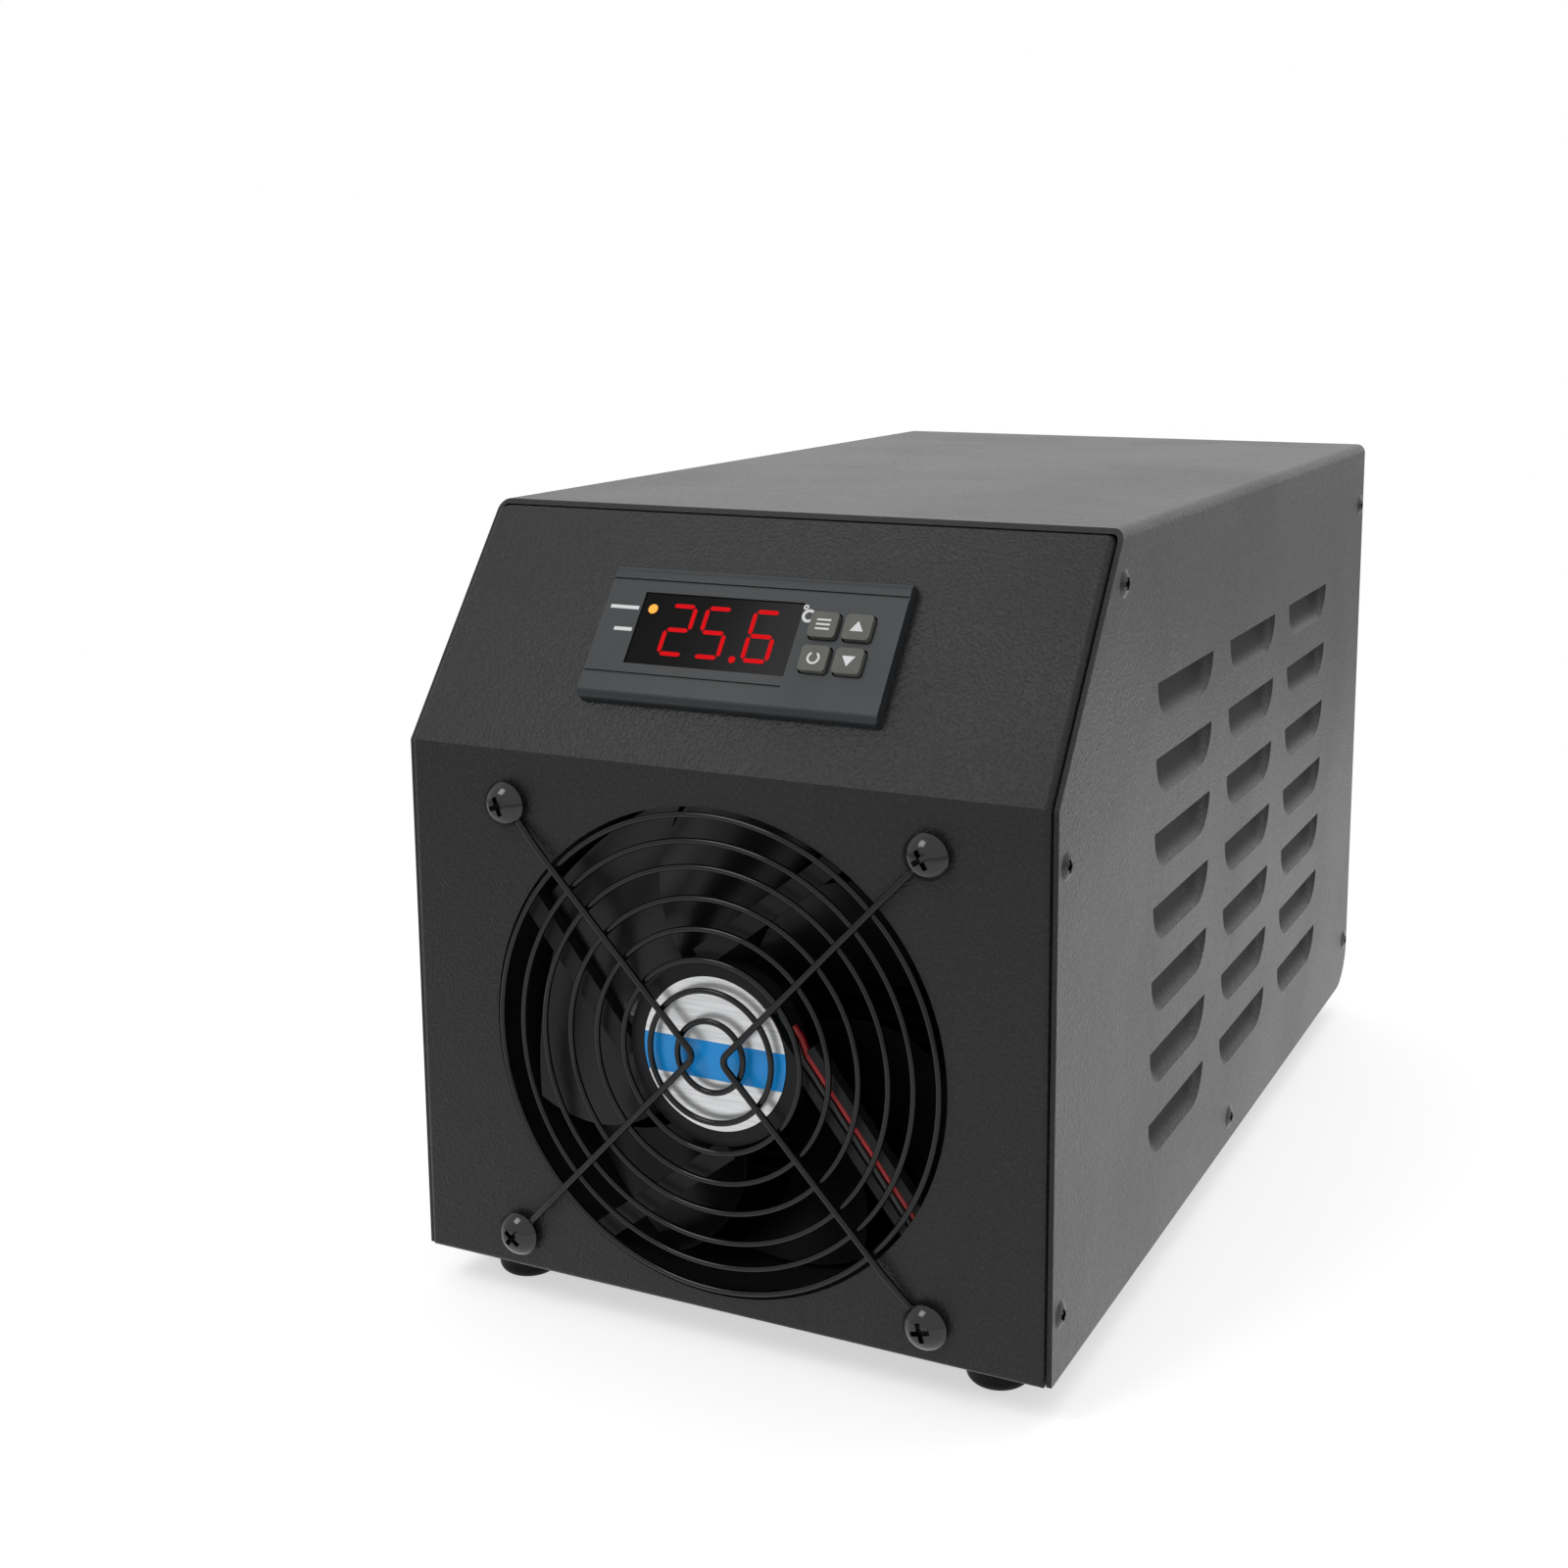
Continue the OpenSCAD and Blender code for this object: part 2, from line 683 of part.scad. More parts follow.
// Rubber feet, each with a pocket for its screw
module feet() {
  in_case() color([0.05, 0.05, 0.05]) for (p = feet_places) translate([p[0], p[1], 0])
    difference() {
      rotate_extrude() {
        polygon([[0, 0], [foot_top_r, 0], [foot_low_r, foot_edge_r - foot_h],
          [0, foot_edge_r - foot_h]]);
        translate([0, -foot_h]) square([foot_low_r - foot_edge_r, foot_h]);
        translate([foot_low_r - foot_edge_r, foot_edge_r - foot_h])
          circle(foot_edge_r);
      }
      translate([0, 0, -foot_h - cut]) cylinder(h = foot_h + 2 * cut,
        r = foot_shank_r + screw_fit);
      translate([0, 0, -foot_h - cut]) cylinder(h = foot_h + cut - foot_web,
        r = foot_head_r + screw_fit);
    }
}
module foot_screws() {
  in_case() color([0.6, 0.6, 0.62]) for (p = feet_places)
    translate([p[0], p[1], -foot_web]) rotate([180, 0, 0])
      screw(foot_head_r, foot_head_h, foot_shank_r, foot_web + panel_t + foot_screw_out);
}

// Fan: square frame, duct, fixed motor cup and four tangent struts
module strut_bar(w, from, to) {
  translate([from, strut_offset - w / 2]) square([to - from, w]);
}
module lead_groove(from, to) {
  rotate(strut_angle - 90) strut_bar(groove_w, from, to);
}
groove_w = 3.4;
groove_d = 1.8;
notch_end = 13;
lead_hole_r = 2.2;
lead_out = 58.5;
module fan_frame() {
  strut_end = sqrt(duct_out_r * duct_out_r - strut_offset * strut_offset) - 1 / 2 * cup_wall;
  strut_start = cup_r / 2;
  in_fan() color([0.07, 0.07, 0.08]) difference() {
    union() {
      difference() {
        union() {
          for (y = [fan_y, fan_y + fan_depth - fan_flange_t])
            along_y(y, fan_flange_t) round_rect(fan_size, fan_size, fan_corner_r);
          rod_y(duct_out_r, fan_y, fan_depth);
          for (x = [-1, 1], z = [-1, 1]) rod_y(fan_boss_r, fan_y, fan_depth,
            x * fan_pitch / 2, z * fan_pitch / 2);
        }
        hole_y(duct_r, fan_y, fan_depth);
      }
      rod_y(cup_r, fan_y, cup_d);
      for (i = [0 : 2]) along_y(fan_y, strut_t)
        rotate(strut_angle + 90 * i) strut_bar(strut_w, strut_start, strut_end);
      along_y(fan_y, strut_t)
        rotate(strut_angle - 90) strut_bar(lead_strut_w, strut_start, strut_end);
      rod_y(bearing_r + tube_wall, fan_y + cup_wall, tube_l);
    }
    for (x = [-1, 1], z = [-1, 1]) hole_y(fan_hole_r, fan_y, fan_depth,
      x * fan_pitch / 2, z * fan_pitch / 2);
    rod_y(label_r + label_fit, fan_y - cut, cut + label_t);
    difference() {
      rod_y(cup_r - cup_wall, fan_y + label_t + cup_wall, cup_d);
      rod_y(bearing_r + tube_wall, fan_y, 2 * cup_d);
    }
    rod_y(bearing_r, fan_y + label_t + cup_wall, fan_depth);
    along_y(fan_y - cut, groove_d + cut) lead_groove(notch_end / 2, lead_out);
    along_y(fan_y - cut, board_y - fan_y + cut) lead_groove(0, notch_end);
    hole_y(lead_hole_r, fan_y, fan_flange_t, strut_place(lead_out, 0)[0],
      strut_place(lead_out, 0)[1]);
  }
}
tube_l = 17;
label_fit = 0.2;
board_t = 1.2;
board_y = fan_y + label_t + cup_wall + 2 * lead_r + 2 * wire_gap;
stator_l = 7;

// One blade as a lofted section that turns and sweeps from root to tip
blade_stations = 6;
blade_steps = 6;
blade_root_sink = 0.6;
blade_edge_share = 0.35;
hub_y0 = fan_y + cup_d + hub_gap;
hub_y1 = fan_y + fan_depth - hub_back_gap;
blade_h = hub_y1 - hub_y0 - 2 * blade_t;
function blade_mid(t) = blade_h * (t + blade_camber_share * sin(180 * t));
function blade_half(t) = blade_t / 2 * (blade_edge_share + (1 - blade_edge_share) * sin(180 * t));
function blade_point(u, t, side) =
  let (r = hub_r - blade_root_sink + u * (tip_r - hub_r + blade_root_sink))
  let (a = blade_turn * (t - 0.5) + blade_sweep * u * u)
  [r * cos(a), hub_y0 + blade_t + blade_mid(t) + side * blade_half(t), r * sin(a)];
function blade_ring(u) = concat(
  [for (j = [0 : blade_steps]) blade_point(u, j / blade_steps, -1)],
  [for (j = [blade_steps : -1 : 0]) blade_point(u, j / blade_steps, 1)]);
module blade() {
  n = 2 * (blade_steps + 1);
  points = [for (i = [0 : blade_stations]) each blade_ring(i / blade_stations)];
  sides = [for (i = [0 : blade_stations - 1], j = [0 : n - 1])
    let (a = i * n + j, b = i * n + (j + 1) % n)
    each [[a, b, a + n], [b, b + n, a + n]]];
  root = [for (j = [0 : blade_steps - 1]) each
    [[j, n - 1 - j, j + 1], [j + 1, n - 1 - j, n - 2 - j]]];
  last = blade_stations * n;
  tip = [for (f = root) [last + f[0], last + f[2], last + f[1]]];
  polyhedron(points, concat(sides, root, tip));
}
module fan_impeller() {
  in_fan() color([0.08, 0.08, 0.09]) difference() {
    union() {
      difference() {
        rod_y(hub_r, hub_y0, hub_y1 - hub_y0);
        rod_y(hub_r - hub_wall, hub_y0 - cut, hub_y1 - hub_y0 - hub_wall + cut);
      }
      rod_y(boss_r, hub_y1 - boss_l, boss_l);
      for (i = [0 : blade_count - 1]) rotate([0, i * 360 / blade_count, 0]) blade();
    }
    hole_y(shaft_r, hub_y1 - boss_l, boss_l);
  }
}
boss_r = 3.4;
boss_l = 4;
module fan_shaft() {
  from = fan_y + label_t + cup_wall + shaft_end_gap;
  in_case() color([0.75, 0.75, 0.77]) rod_y(shaft_r, from, hub_y1 - from, 0, fan_z);
}
shaft_end_gap = 0.8;
magnet_fit = 0.05;
module fan_magnet() {
  in_fan() color([0.25, 0.24, 0.24]) difference() {
    rod_y(hub_r - hub_wall, hub_y0 + magnet_in, magnet_l);
    rod_y(magnet_r, hub_y0 + magnet_in - cut, magnet_l + 2 * cut);
  }
}
magnet_in = 1;
magnet_l = 11;
module fan_bearings() {
  first = fan_y + label_t + cup_wall + shaft_end_gap;
  last = fan_y + cup_wall + tube_l - bearing_l;
  in_fan() color([0.7, 0.6, 0.35]) for (y = [first, last])
    difference() {
      rod_y(bearing_r, y, bearing_l);
      hole_y(shaft_r + shaft_fit, y, bearing_l);
    }
}
// Stator: four poles on a core that grips the bearing tube
pole_w = 5;
pole_shoe_t = 1.8;
stator_y = hub_y0 + 2.5 * cup_wall;
module pole_profile() {
  difference() {
    union() {
      circle(bearing_r + tube_wall + pole_shoe_t);
      intersection() {
        circle(pole_r);
        union() {
          square([2 * pole_r, pole_w], center = true);
          square([pole_w, 2 * pole_r], center = true);
          difference() {
            for (a = [0 : 90 : 270]) rotate(a)
              translate([pole_r / 2, -pole_w * 0.85])
                square([pole_r, pole_w * 1.7]);
            circle(pole_r - pole_shoe_t);
          }
        }
      }
    }
    circle(bearing_r + tube_wall);
  }
}
module fan_stator() {
  in_case() color([0.55, 0.56, 0.58]) translate([0, 0, fan_z])
    along_y(stator_y, stator_l) pole_profile();
}
coil_t = 1.2;
coil_fit = 0.1;
module fan_coils() {
  inner = bearing_r + tube_wall + pole_shoe_t + coil_t;
  in_case() color([0.7, 0.35, 0.15]) translate([0, stator_y + stator_l / 2, fan_z])
    for (a = [0 : 90 : 270]) rotate([0, a, 0]) translate([inner, 0, 0])
      rotate([0, 90, 0]) linear_extrude(pole_r - 1.35 * pole_shoe_t - inner)
        difference() {
          square([pole_w + 2 * coil_t, stator_l + 2 * coil_t], center = true);
          square([pole_w + 2 * coil_fit, stator_l + 2 * coil_fit], center = true);
        }
}
module fan_board() {
  in_fan() color([0.1, 0.35, 0.2]) difference() {
    rod_y(cup_r - cup_wall - cutout_fit, board_y, board_t);
    rod_y(bearing_r + tube_wall, fan_y, 2 * cup_d);
  }
}
module fan_label() {
  in_case() color([0.85, 0.86, 0.87]) rod_y(label_r, fan_y, label_t, 0, fan_z);
}

// Tube along a list of points, its rings square to the route
function unit(v) = v / norm(v);
function ring_dir(p, i) =
  i == 0 ? unit(p[1] - p[0])
  : i == len(p) - 1 ? unit(p[i] - p[i - 1])
  : unit(unit(p[i] - p[i - 1]) + unit(p[i + 1] - p[i]));
function turn_off(v, d) = unit(v - (v * d) * d);
function side_dirs(p, i, prev) =
  i == len(p) ? []
  : let (s = turn_off(prev, ring_dir(p, i))) concat([s], side_dirs(p, i + 1, s));
module tube_path(p, r, start_side, sides = 8) {
  dirs = side_dirs(p, 0, start_side);
  points = [for (i = [0 : len(p) - 1], k = [0 : sides - 1])
    let (d = ring_dir(p, i), s = dirs[i], c = cross(d, s), a = 360 * k / sides)
    p[i] + r * (cos(a) * s + sin(a) * c)];
  walls = [for (i = [0 : len(p) - 2], k = [0 : sides - 1])
    let (a = i * sides + k, b = i * sides + (k + 1) % sides)
    each [[a, a + sides, b], [b, a + sides, b + sides]]];
  caps = [[for (k = [0 : sides - 1]) k],
    [for (k = [sides - 1 : -1 : 0]) (len(p) - 1) * sides + k]];
  polyhedron(points, concat(walls, caps));
}
// Points of a route with its corners rounded
function corner_points(a, b, c, r, n) =
  let (u = unit(a - b), v = unit(c - b), half = acos(u * v) / 2)
  let (cut_back = r / tan(half), mid = unit(u + v) * (r / sin(half)))
  let (centre = b + mid, s = b + u * cut_back - centre, e = b + v * cut_back - centre)
  let (arc = 180 - 2 * half, t = unit(e - s * cos(arc)))
  [for (i = [0 : n]) centre + s * cos(arc * i / n) + t * norm(s) * sin(arc * i / n)];
function rounded(p, r, n) = concat([p[0]],
  [for (i = [1 : len(p) - 2]) each corner_points(p[i - 1], p[i], p[i + 1], r, n)],
  [p[len(p) - 1]]);

// The two leads run in the strut's groove, through the frame's edge and back to the supply
lead_bend_r = 3;
lead_side_gap = 7;
lead_low_z = psu_board_z + pcb_t + psu_t + lead_r + 2 * wire_gap;
lead_turn_gap = 19;
function slot_x(i) = (i - (slot_count - 1) / 2) * slot_pitch;
function strut_place(s, off) =
  let (a = strut_angle - 90)
  [s * cos(a) - (strut_offset + off) * sin(a), s * sin(a) + (strut_offset + off) * cos(a)];
function strut_point(s, off, y) =
  let (p = strut_place(s, off)) [p[0], y, fan_z + p[1]];
function lead_route(k, end_x) =
  let (off = k * (lead_r + wire_gap), front = fan_y + groove_d - lead_r - wire_gap)
  let (deep = board_y - lead_r - wire_gap, mid = fan_y + fan_depth / 2 - off)
  let (x = fan_size / 2 + lead_side_gap + off, z = strut_point(lead_out, off, 0)[2])
  let (y = sink_y0 - sink_gap / 2, turn = psu_y - lead_turn_gap + off)
  [strut_point(1, off, deep), strut_point(notch_end - 5, off, deep),
    strut_point(notch_end - 1, off, front), strut_point(lead_out, off, front),
    strut_point(lead_out, off, mid), [x, mid, z], [x, y, z], [x, y, lead_low_z],
    [x, turn, lead_low_z], [end_x, turn, lead_low_z], [end_x, slot_end_y, lead_low_z]];
module fan_lead_red() {
  in_case() color([0.75, 0.06, 0.08])
    tube_path(rounded(lead_route(1, slot_x(1)), lead_bend_r, 3), lead_r, [0, 1, 0]);
}
module fan_lead_black() {
  in_case() color([0.04, 0.04, 0.04])
    tube_path(rounded(lead_route(-1, slot_x(0)), lead_bend_r, 3), lead_r, [0, 1, 0]);
}

// Wire guard: rings, and two bent legs welded in front of them
ring_y = panel_y - ring_wire_r;
leg_y = ring_y - ring_wire_r - leg_wire_r + weld_d;
eye_y = panel_y - eye_wire_r;
eye_r = guard_shank_r + eye_fit + eye_wire_r;
module wire(a, b, r) {
  d = b - a;
  translate(a) rotate([0, acos(d[2] / norm(d)), atan2(d[1], d[0])])
    cylinder(h = norm(d), r = r);
}
module guard_leg_half() {
  corner = [fan_pitch / 2, eye_y, fan_pitch / 2];
  tip = [leg_tip_x, leg_y, 0];
  flat_dir = unit([corner[0] - tip[0], 0, corner[2]]);
  knee = tip + flat_dir * (leg_knee_r - leg_tip_x * flat_dir[0]);
  eye_start = corner - flat_dir * eye_r;
  wire(tip, knee, leg_wire_r);
  translate(knee) sphere(eye_wire_r);
  wire(knee, eye_start, leg_wire_r);
  translate(corner) rotate([90, 0, 0]) rotate_extrude() translate([eye_r, 0])
    circle(eye_wire_r);
}
module fan_guard() {
  in_fan() color([0.06, 0.06, 0.06]) {
    for (i = [0 : ring_count - 1])
      translate([0, ring_y, 0]) rotate([90, 0, 0]) rotate_extrude()
        translate([ring_first_r + i * ring_pitch - max(0, i - ring_count + 3) * ring_tighten, 0])
          circle(ring_wire_r);
    for (sx = [0, 1]) mirror([sx, 0, 0]) {
      for (sz = [0, 1]) mirror([0, 0, sz]) guard_leg_half();
      translate([leg_tip_x, leg_y, 0]) sphere(eye_wire_r);
    }
  }
}
// How far each screw was driven, in degrees
guard_turns = [[50, 20], [15, 30]];
module guard_screws() {
  in_case() color([0.12, 0.1, 0.09]) for (i = [0, 1], j = [0, 1])
    screw_front((i - 1 / 2) * fan_pitch, eye_y - eye_wire_r, fan_z + (j - 1 / 2) * fan_pitch,
      guard_head_r, guard_head_h, guard_shank_r, guard_shank_l, guard_head_flat_r,
      guard_turns[i][j]);
}

// Thermostat: a moulded bezel in front of the panel and a skirt behind it
upper_ridge_w = 4.2;
lower_ridge_w = 6;
groove_line_w = 0.7;
groove_line_d = 0.4;
face_end_r = 0.9;
button_flange = 0.7;
button_flange_t = 0.7;
button_seat_gap = 0.15;
stem_r = 1.2;
stem_l = 0.6;
skirt_w = cutout_w - 2 * cutout_fit;
skirt_h = cutout_h - 2 * cutout_fit;
face_back = face_t - face_wall;
button_places = [for (i = [0 : 1], j = [0 : 1])
  [button_left_x + j * button_pitch_x, button_upper_y - i * button_pitch_y]];
module face_profile() {
  translate([-face_h / 2, 0]) square([face_h, face_t - face_edge_r]);
  translate([face_edge_r - face_h / 2, 0]) square([face_h - 2 * face_edge_r, face_t]);
  for (s = [-1, 1]) translate([s * (face_h / 2 - face_edge_r), face_t - face_edge_r])
    circle(face_edge_r);
}
module thermostat_bezel() {
  in_case() on_face() color([0.29, 0.32, 0.33]) difference() {
    union() {
      intersection() {
        along_x(-face_w / 2, face_w) face_profile();
        linear_extrude(face_t) round_rect(face_w, face_h, face_end_r);
      }
      translate([0, 0, -skirt_l]) linear_extrude(skirt_l + face_back / 2)
        square([skirt_w, skirt_h], center = true);
    }
    translate([0, 0, -skirt_l - cut]) linear_extrude(skirt_l + cut + face_back)
      square([skirt_w - 2 * case_wall, skirt_h - 2 * case_wall], center = true);
    translate([-window_left, window_up, 0]) linear_extrude(face_t + cut)
      square([window_w, window_h], center = true);
    for (p = button_places) translate([p[0], p[1], 0]) linear_extrude(face_t + cut)
      round_rect(button_w + 2 * button_fit, button_h + 2 * button_fit, button_r);
    translate([0, face_h / 2 - upper_ridge_w, face_t])
      cube([face_w + 2 * cut, groove_line_w, 2 * groove_line_d], center = true);
    box([-face_w, lower_ridge_w - face_h / 2, face_t - groove_line_d],
      [window_w / 2 - window_left, lower_ridge_w + groove_line_w - face_h / 2, face_t + cut]);
  }
}
lens_flange = 0.9;
lens_flange_t = 0.8;
module thermostat_window() {
  in_case() on_face() color([0.12, 0.03, 0.03]) translate([-window_left, window_up, 0]) {
    translate([0, 0, face_back - lens_flange_t]) linear_extrude(lens_flange_t)
      square([window_w + 2 * lens_flange, window_h + 2 * lens_flange], center = true);
    translate([0, 0, face_back - lens_flange_t])
      linear_extrude(face_wall + lens_flange_t - groove_line_d)
        square([window_w - 2 * window_fit, window_h - 2 * window_fit], center = true);
  }
}
module button(i) {
  in_case() on_face() color([0.5, 0.52, 0.49])
    translate([button_places[i][0], button_places[i][1], 0]) {
      top = face_back - button_seat_gap;
      translate([0, 0, top - button_flange_t / 2])
        linear_extrude(face_t + button_out - top + button_flange_t / 2)
          round_rect(button_w, button_h, button_r);
      translate([0, 0, top - button_flange_t]) linear_extrude(button_flange_t)
        round_rect(button_w + 2 * button_flange, button_h + 2 * button_flange, button_r);
      translate([0, 0, top - button_flange_t - stem_l])
        cylinder(h = stem_l + button_flange_t / 2, r = stem_r);
    }
}
module button_set() { button(0); }
module button_up() { button(1); }
module button_reset() { button(2); }
module button_down() { button(3); }

// Heights in the thermostat, from the panel inwards
stem_low = face_back - button_seat_gap - button_flange_t - stem_l;
switch_top = stem_low - button_travel - wire_gap;
plunger_r = 1.7;
plunger_l = 1.2;
tact_w = 6;
tact_t = 3.5;
pcb_top = switch_top - plunger_l - tact_t;
module thermostat_board() {
  in_case() on_face() color([0.1, 0.35, 0.2]) translate([0, 0, pcb_top - pcb_t])
    linear_extrude(pcb_t)
      square([skirt_w - 2 * case_wall - 2 * cutout_fit,
        skirt_h - 2 * case_wall - 2 * cutout_fit], center = true);
}
module thermostat_switches() {
  in_case() on_face() color([0.1, 0.1, 0.1]) for (p = button_places)
    translate([p[0], p[1], pcb_top]) {
      linear_extrude(tact_t) square(tact_w, center = true);
      cylinder(h = tact_t + plunger_l, r = plunger_r);
    }
}
module thermostat_display() {
  in_case() on_face() color([0.08, 0.08, 0.08])
    translate([-window_left, window_up, pcb_top])
      linear_extrude(face_back - lens_flange_t - wire_gap - pcb_top)
        square([window_w - 2 * case_wall, window_h - 2 * case_wall], center = true);
}
module thermostat_case() {
  in_case() on_face() color([0.12, 0.12, 0.12]) difference() {
    union() {
      translate([0, 0, -case_back]) linear_extrude(case_back - skirt_l)
        square([skirt_w, skirt_h], center = true);
      for (x = [-1, 1]) translate([x * (skirt_w / 2 - case_wall / 2), 0,
        -panel_t - clip_l - case_wall])
        cube([2 * case_wall, skirt_h / 2, 2 * case_wall], center = true);
    }
    translate([0, 0, case_wall - case_back]) linear_extrude(case_back)
      difference() {
        square([skirt_w - 2 * case_wall, skirt_h - 2 * case_wall], center = true);
        for (x = [-1, 1]) translate([x * skirt_w / 2, 0])
          square([2 * ledge_w, skirt_h / 2], center = true);
      }
    translate([0, 0, pcb_top - pcb_t - wire_gap]) linear_extrude(case_back)
      square([skirt_w - 2 * case_wall, skirt_h - 2 * case_wall], center = true);
    for (i = [0 : 5]) translate([(i - 2.5) * skirt_w / 8, 0, -case_back])
      cube([skirt_w / 20, skirt_h / 3, 4 * case_wall], center = true);
  }
}
ledge_w = 3.2;
terminal_t = 9;
terminal_h = 9;
terminal_r = 1.9;
module thermostat_terminals() {
  w = skirt_w * 0.8;
  in_case() on_face() color([0.1, 0.3, 0.15]) translate([0, 0, -case_back - terminal_t])
    difference() {
      linear_extrude(terminal_t) square([w, terminal_h], center = true);
      for (i = [0 : 7]) translate([(i - 3.5) * w / 8, 0, -cut])
        cylinder(h = terminal_t / 2 + cut, r = terminal_r);
    }
}
clip_w = 5;
clip_h = 14;
clip_l = 22;
module thermostat_clips() {
  in_case() on_face() color([0.75, 0.4, 0.08])
    for (s = [0, 1]) mirror([s, 0, 0]) translate([skirt_w / 2, 0, 0]) difference() {
      translate([0, -clip_h / 2, -panel_t - clip_l]) cube([clip_w, clip_h, clip_l]);
      for (i = [1 : 4]) translate([clip_w, -clip_h, -panel_t - i * clip_l / 5])
        rotate([0, 45, 0]) cube([clip_w / 4, 2 * clip_h, clip_w / 4]);
    }
}

// Cooling core, in line behind the fan
sink_y0 = fan_y + fan_depth + sink_gap;
sink_y1 = sink_y0 + fin_l;
sink_back = sink_y1 + sink_base_t;
core_z = fan_z;
sink_low = core_z - sink_h / 2;
block_y0 = sink_back + module_t;
block_y1 = block_y0 + block_t;
foam_y1 = block_y1 + foam_t;
small_shank_r = 1.45;
small_head_r = 2.9;
small_head_h = 1.8;
bracket_t = 1.6;
bracket_w = 15;
bracket_foot = 16;
bracket_h = 30;
bracket_in = 1;
tap_d = 4;
bracket_x = sink_w / 2 - bracket_in - bracket_w / 2;
bracket_places = [for (x = [-bracket_x, bracket_x]) [x, sink_back + bracket_foot * 0.6]];
bracket_hole_z = sink_low + 7;
bracket_hole_x = 4.2;
bracket_holes = [for (x = [-1, 1], dx = [-1, 1])
  x * bracket_x + dx * bracket_hole_x];
module heat_sink() {
  pitch = (sink_h - fin_t) / (fin_count - 1);
  in_case() color([0.72, 0.73, 0.75]) difference() {
    union() {
      box([-sink_w / 2, sink_y1, sink_low], [sink_w / 2, sink_back, sink_low + sink_h]);
      for (i = [0 : fin_count - 1])
        box([-sink_w / 2, sink_y0, sink_low + i * pitch],
          [sink_w / 2, sink_y1 + fin_t, sink_low + i * pitch + fin_t]);
    }
    for (x = bracket_holes)
      rod_y(small_shank_r + pilot_fit, sink_back - tap_d, tap_d + cut, x, bracket_hole_z);
    for (x = [-clamp_x, clamp_x])
      rod_y(small_shank_r + pilot_fit, sink_back - tap_d, tap_d + cut, x, core_z);
  }
}
module sink_brackets() {
  in_case() color([0.6, 0.6, 0.62]) for (x = [-bracket_x, bracket_x]) translate([x, 0, 0])
    difference() {
      union() {
        box([-bracket_w / 2, sink_back, tray_z],
          [bracket_w / 2, sink_back + bracket_t, tray_z + bracket_h]);
        box([-bracket_w / 2, sink_back, tray_z],
          [bracket_w / 2, sink_back + bracket_foot, tray_z + bracket_t]);
      }
      for (dx = [-bracket_hole_x, bracket_hole_x])
        hole_y(small_shank_r + screw_fit, sink_back, bracket_t, dx,
          bracket_hole_z);
      translate([0, bracket_places[0][1], tray_z - cut])
        cylinder(h = bracket_t + 2 * cut, r = small_shank_r + screw_fit);
    }
}
module bracket_screws() {
  in_case() color([0.75, 0.75, 0.77]) {
    for (x = bracket_holes)
      translate([x, sink_back + bracket_t, bracket_hole_z]) rotate([-90, 0, 0])
        screw(small_head_r, small_head_h, small_shank_r, bracket_t + tap_d * 0.9);
    for (p = bracket_places) translate([p[0], p[1], tray_z + bracket_t])
      screw(small_head_r, small_head_h, small_shank_r, bracket_t + panel_t * 0.9);
  }
}
module cooling_modules() {
  in_case() color([0.9, 0.9, 0.88]) for (x = [-module_x, module_x])
    box([x - module_w / 2, sink_back, core_z - module_w / 2],
      [x + module_w / 2, block_y0, core_z + module_w / 2]);
}
module cold_block() {
  row = block_h / 4;
  end = block_w / 2 - 2 * channel_r;
  in_case() color([0.78, 0.79, 0.8]) difference() {
    box([-block_w / 2, block_y0, core_z - block_h / 2],
      [block_w / 2, block_y1, core_z + block_h / 2]);
    for (z = [-row, row])
      rod_x(channel_r, -end, 2 * end, block_y0 + block_t / 2, core_z + z);
    for (x = [-end, end]) translate([x, block_y0 + block_t / 2, core_z - row])
      cylinder(h = 2 * row, r = channel_r);
    for (x = [-hose_x, hose_x])
      rod_y(channel_r, block_y0 + block_t / 2, block_t / 2 + cut, x, core_z + sign(x) * row);
    rod_y(probe_r + probe_fit, block_y1 - probe_in, probe_in + cut, 0, core_z);
  }
}
module block_foam() {
  w = block_w / 2 + foam_t;
  h = block_h / 2 + foam_t;
  in_case() color([0.12, 0.12, 0.12]) difference() {
    box([-w, sink_back, core_z - h], [w, foam_y1, core_z + h]);
    box([-block_w / 2, block_y0, core_z - block_h / 2],
      [block_w / 2, block_y1, core_z + block_h / 2]);
    for (x = [-module_x, module_x])
      box([x - module_w / 2, sink_back - cut, core_z - module_w / 2],
        [x + module_w / 2, block_y0 + cut, core_z + module_w / 2]);
    for (x = [-hose_x, hose_x]) hole_y(fitting_r, block_y1, foam_t,
      x, core_z + sign(x) * block_h / 4);
    hole_y(probe_r + probe_fit, block_y1, foam_t, 0, core_z);
    for (x = module_lead_x) translate([x, sink_back + module_t / 2, core_z - h - cut])
      cylinder(h = foam_t + block_h / 2 - module_w / 2 + 2 * cut, r = lead_r + wire_gap);
  }
}
probe_r = 2.5;
probe_fit = 0.1;
probe_in = 10;
probe_out = 4;
module_lead_gap = 5;
module_lead_x = [for (s = [-1, 1], d = [-1, 1]) s * module_x + d * module_lead_gap];
clamp_t = 4;
clamp_h = 10;
clamp_x = block_w / 2 + foam_t + 4.5;
clamp_over = 5.5;
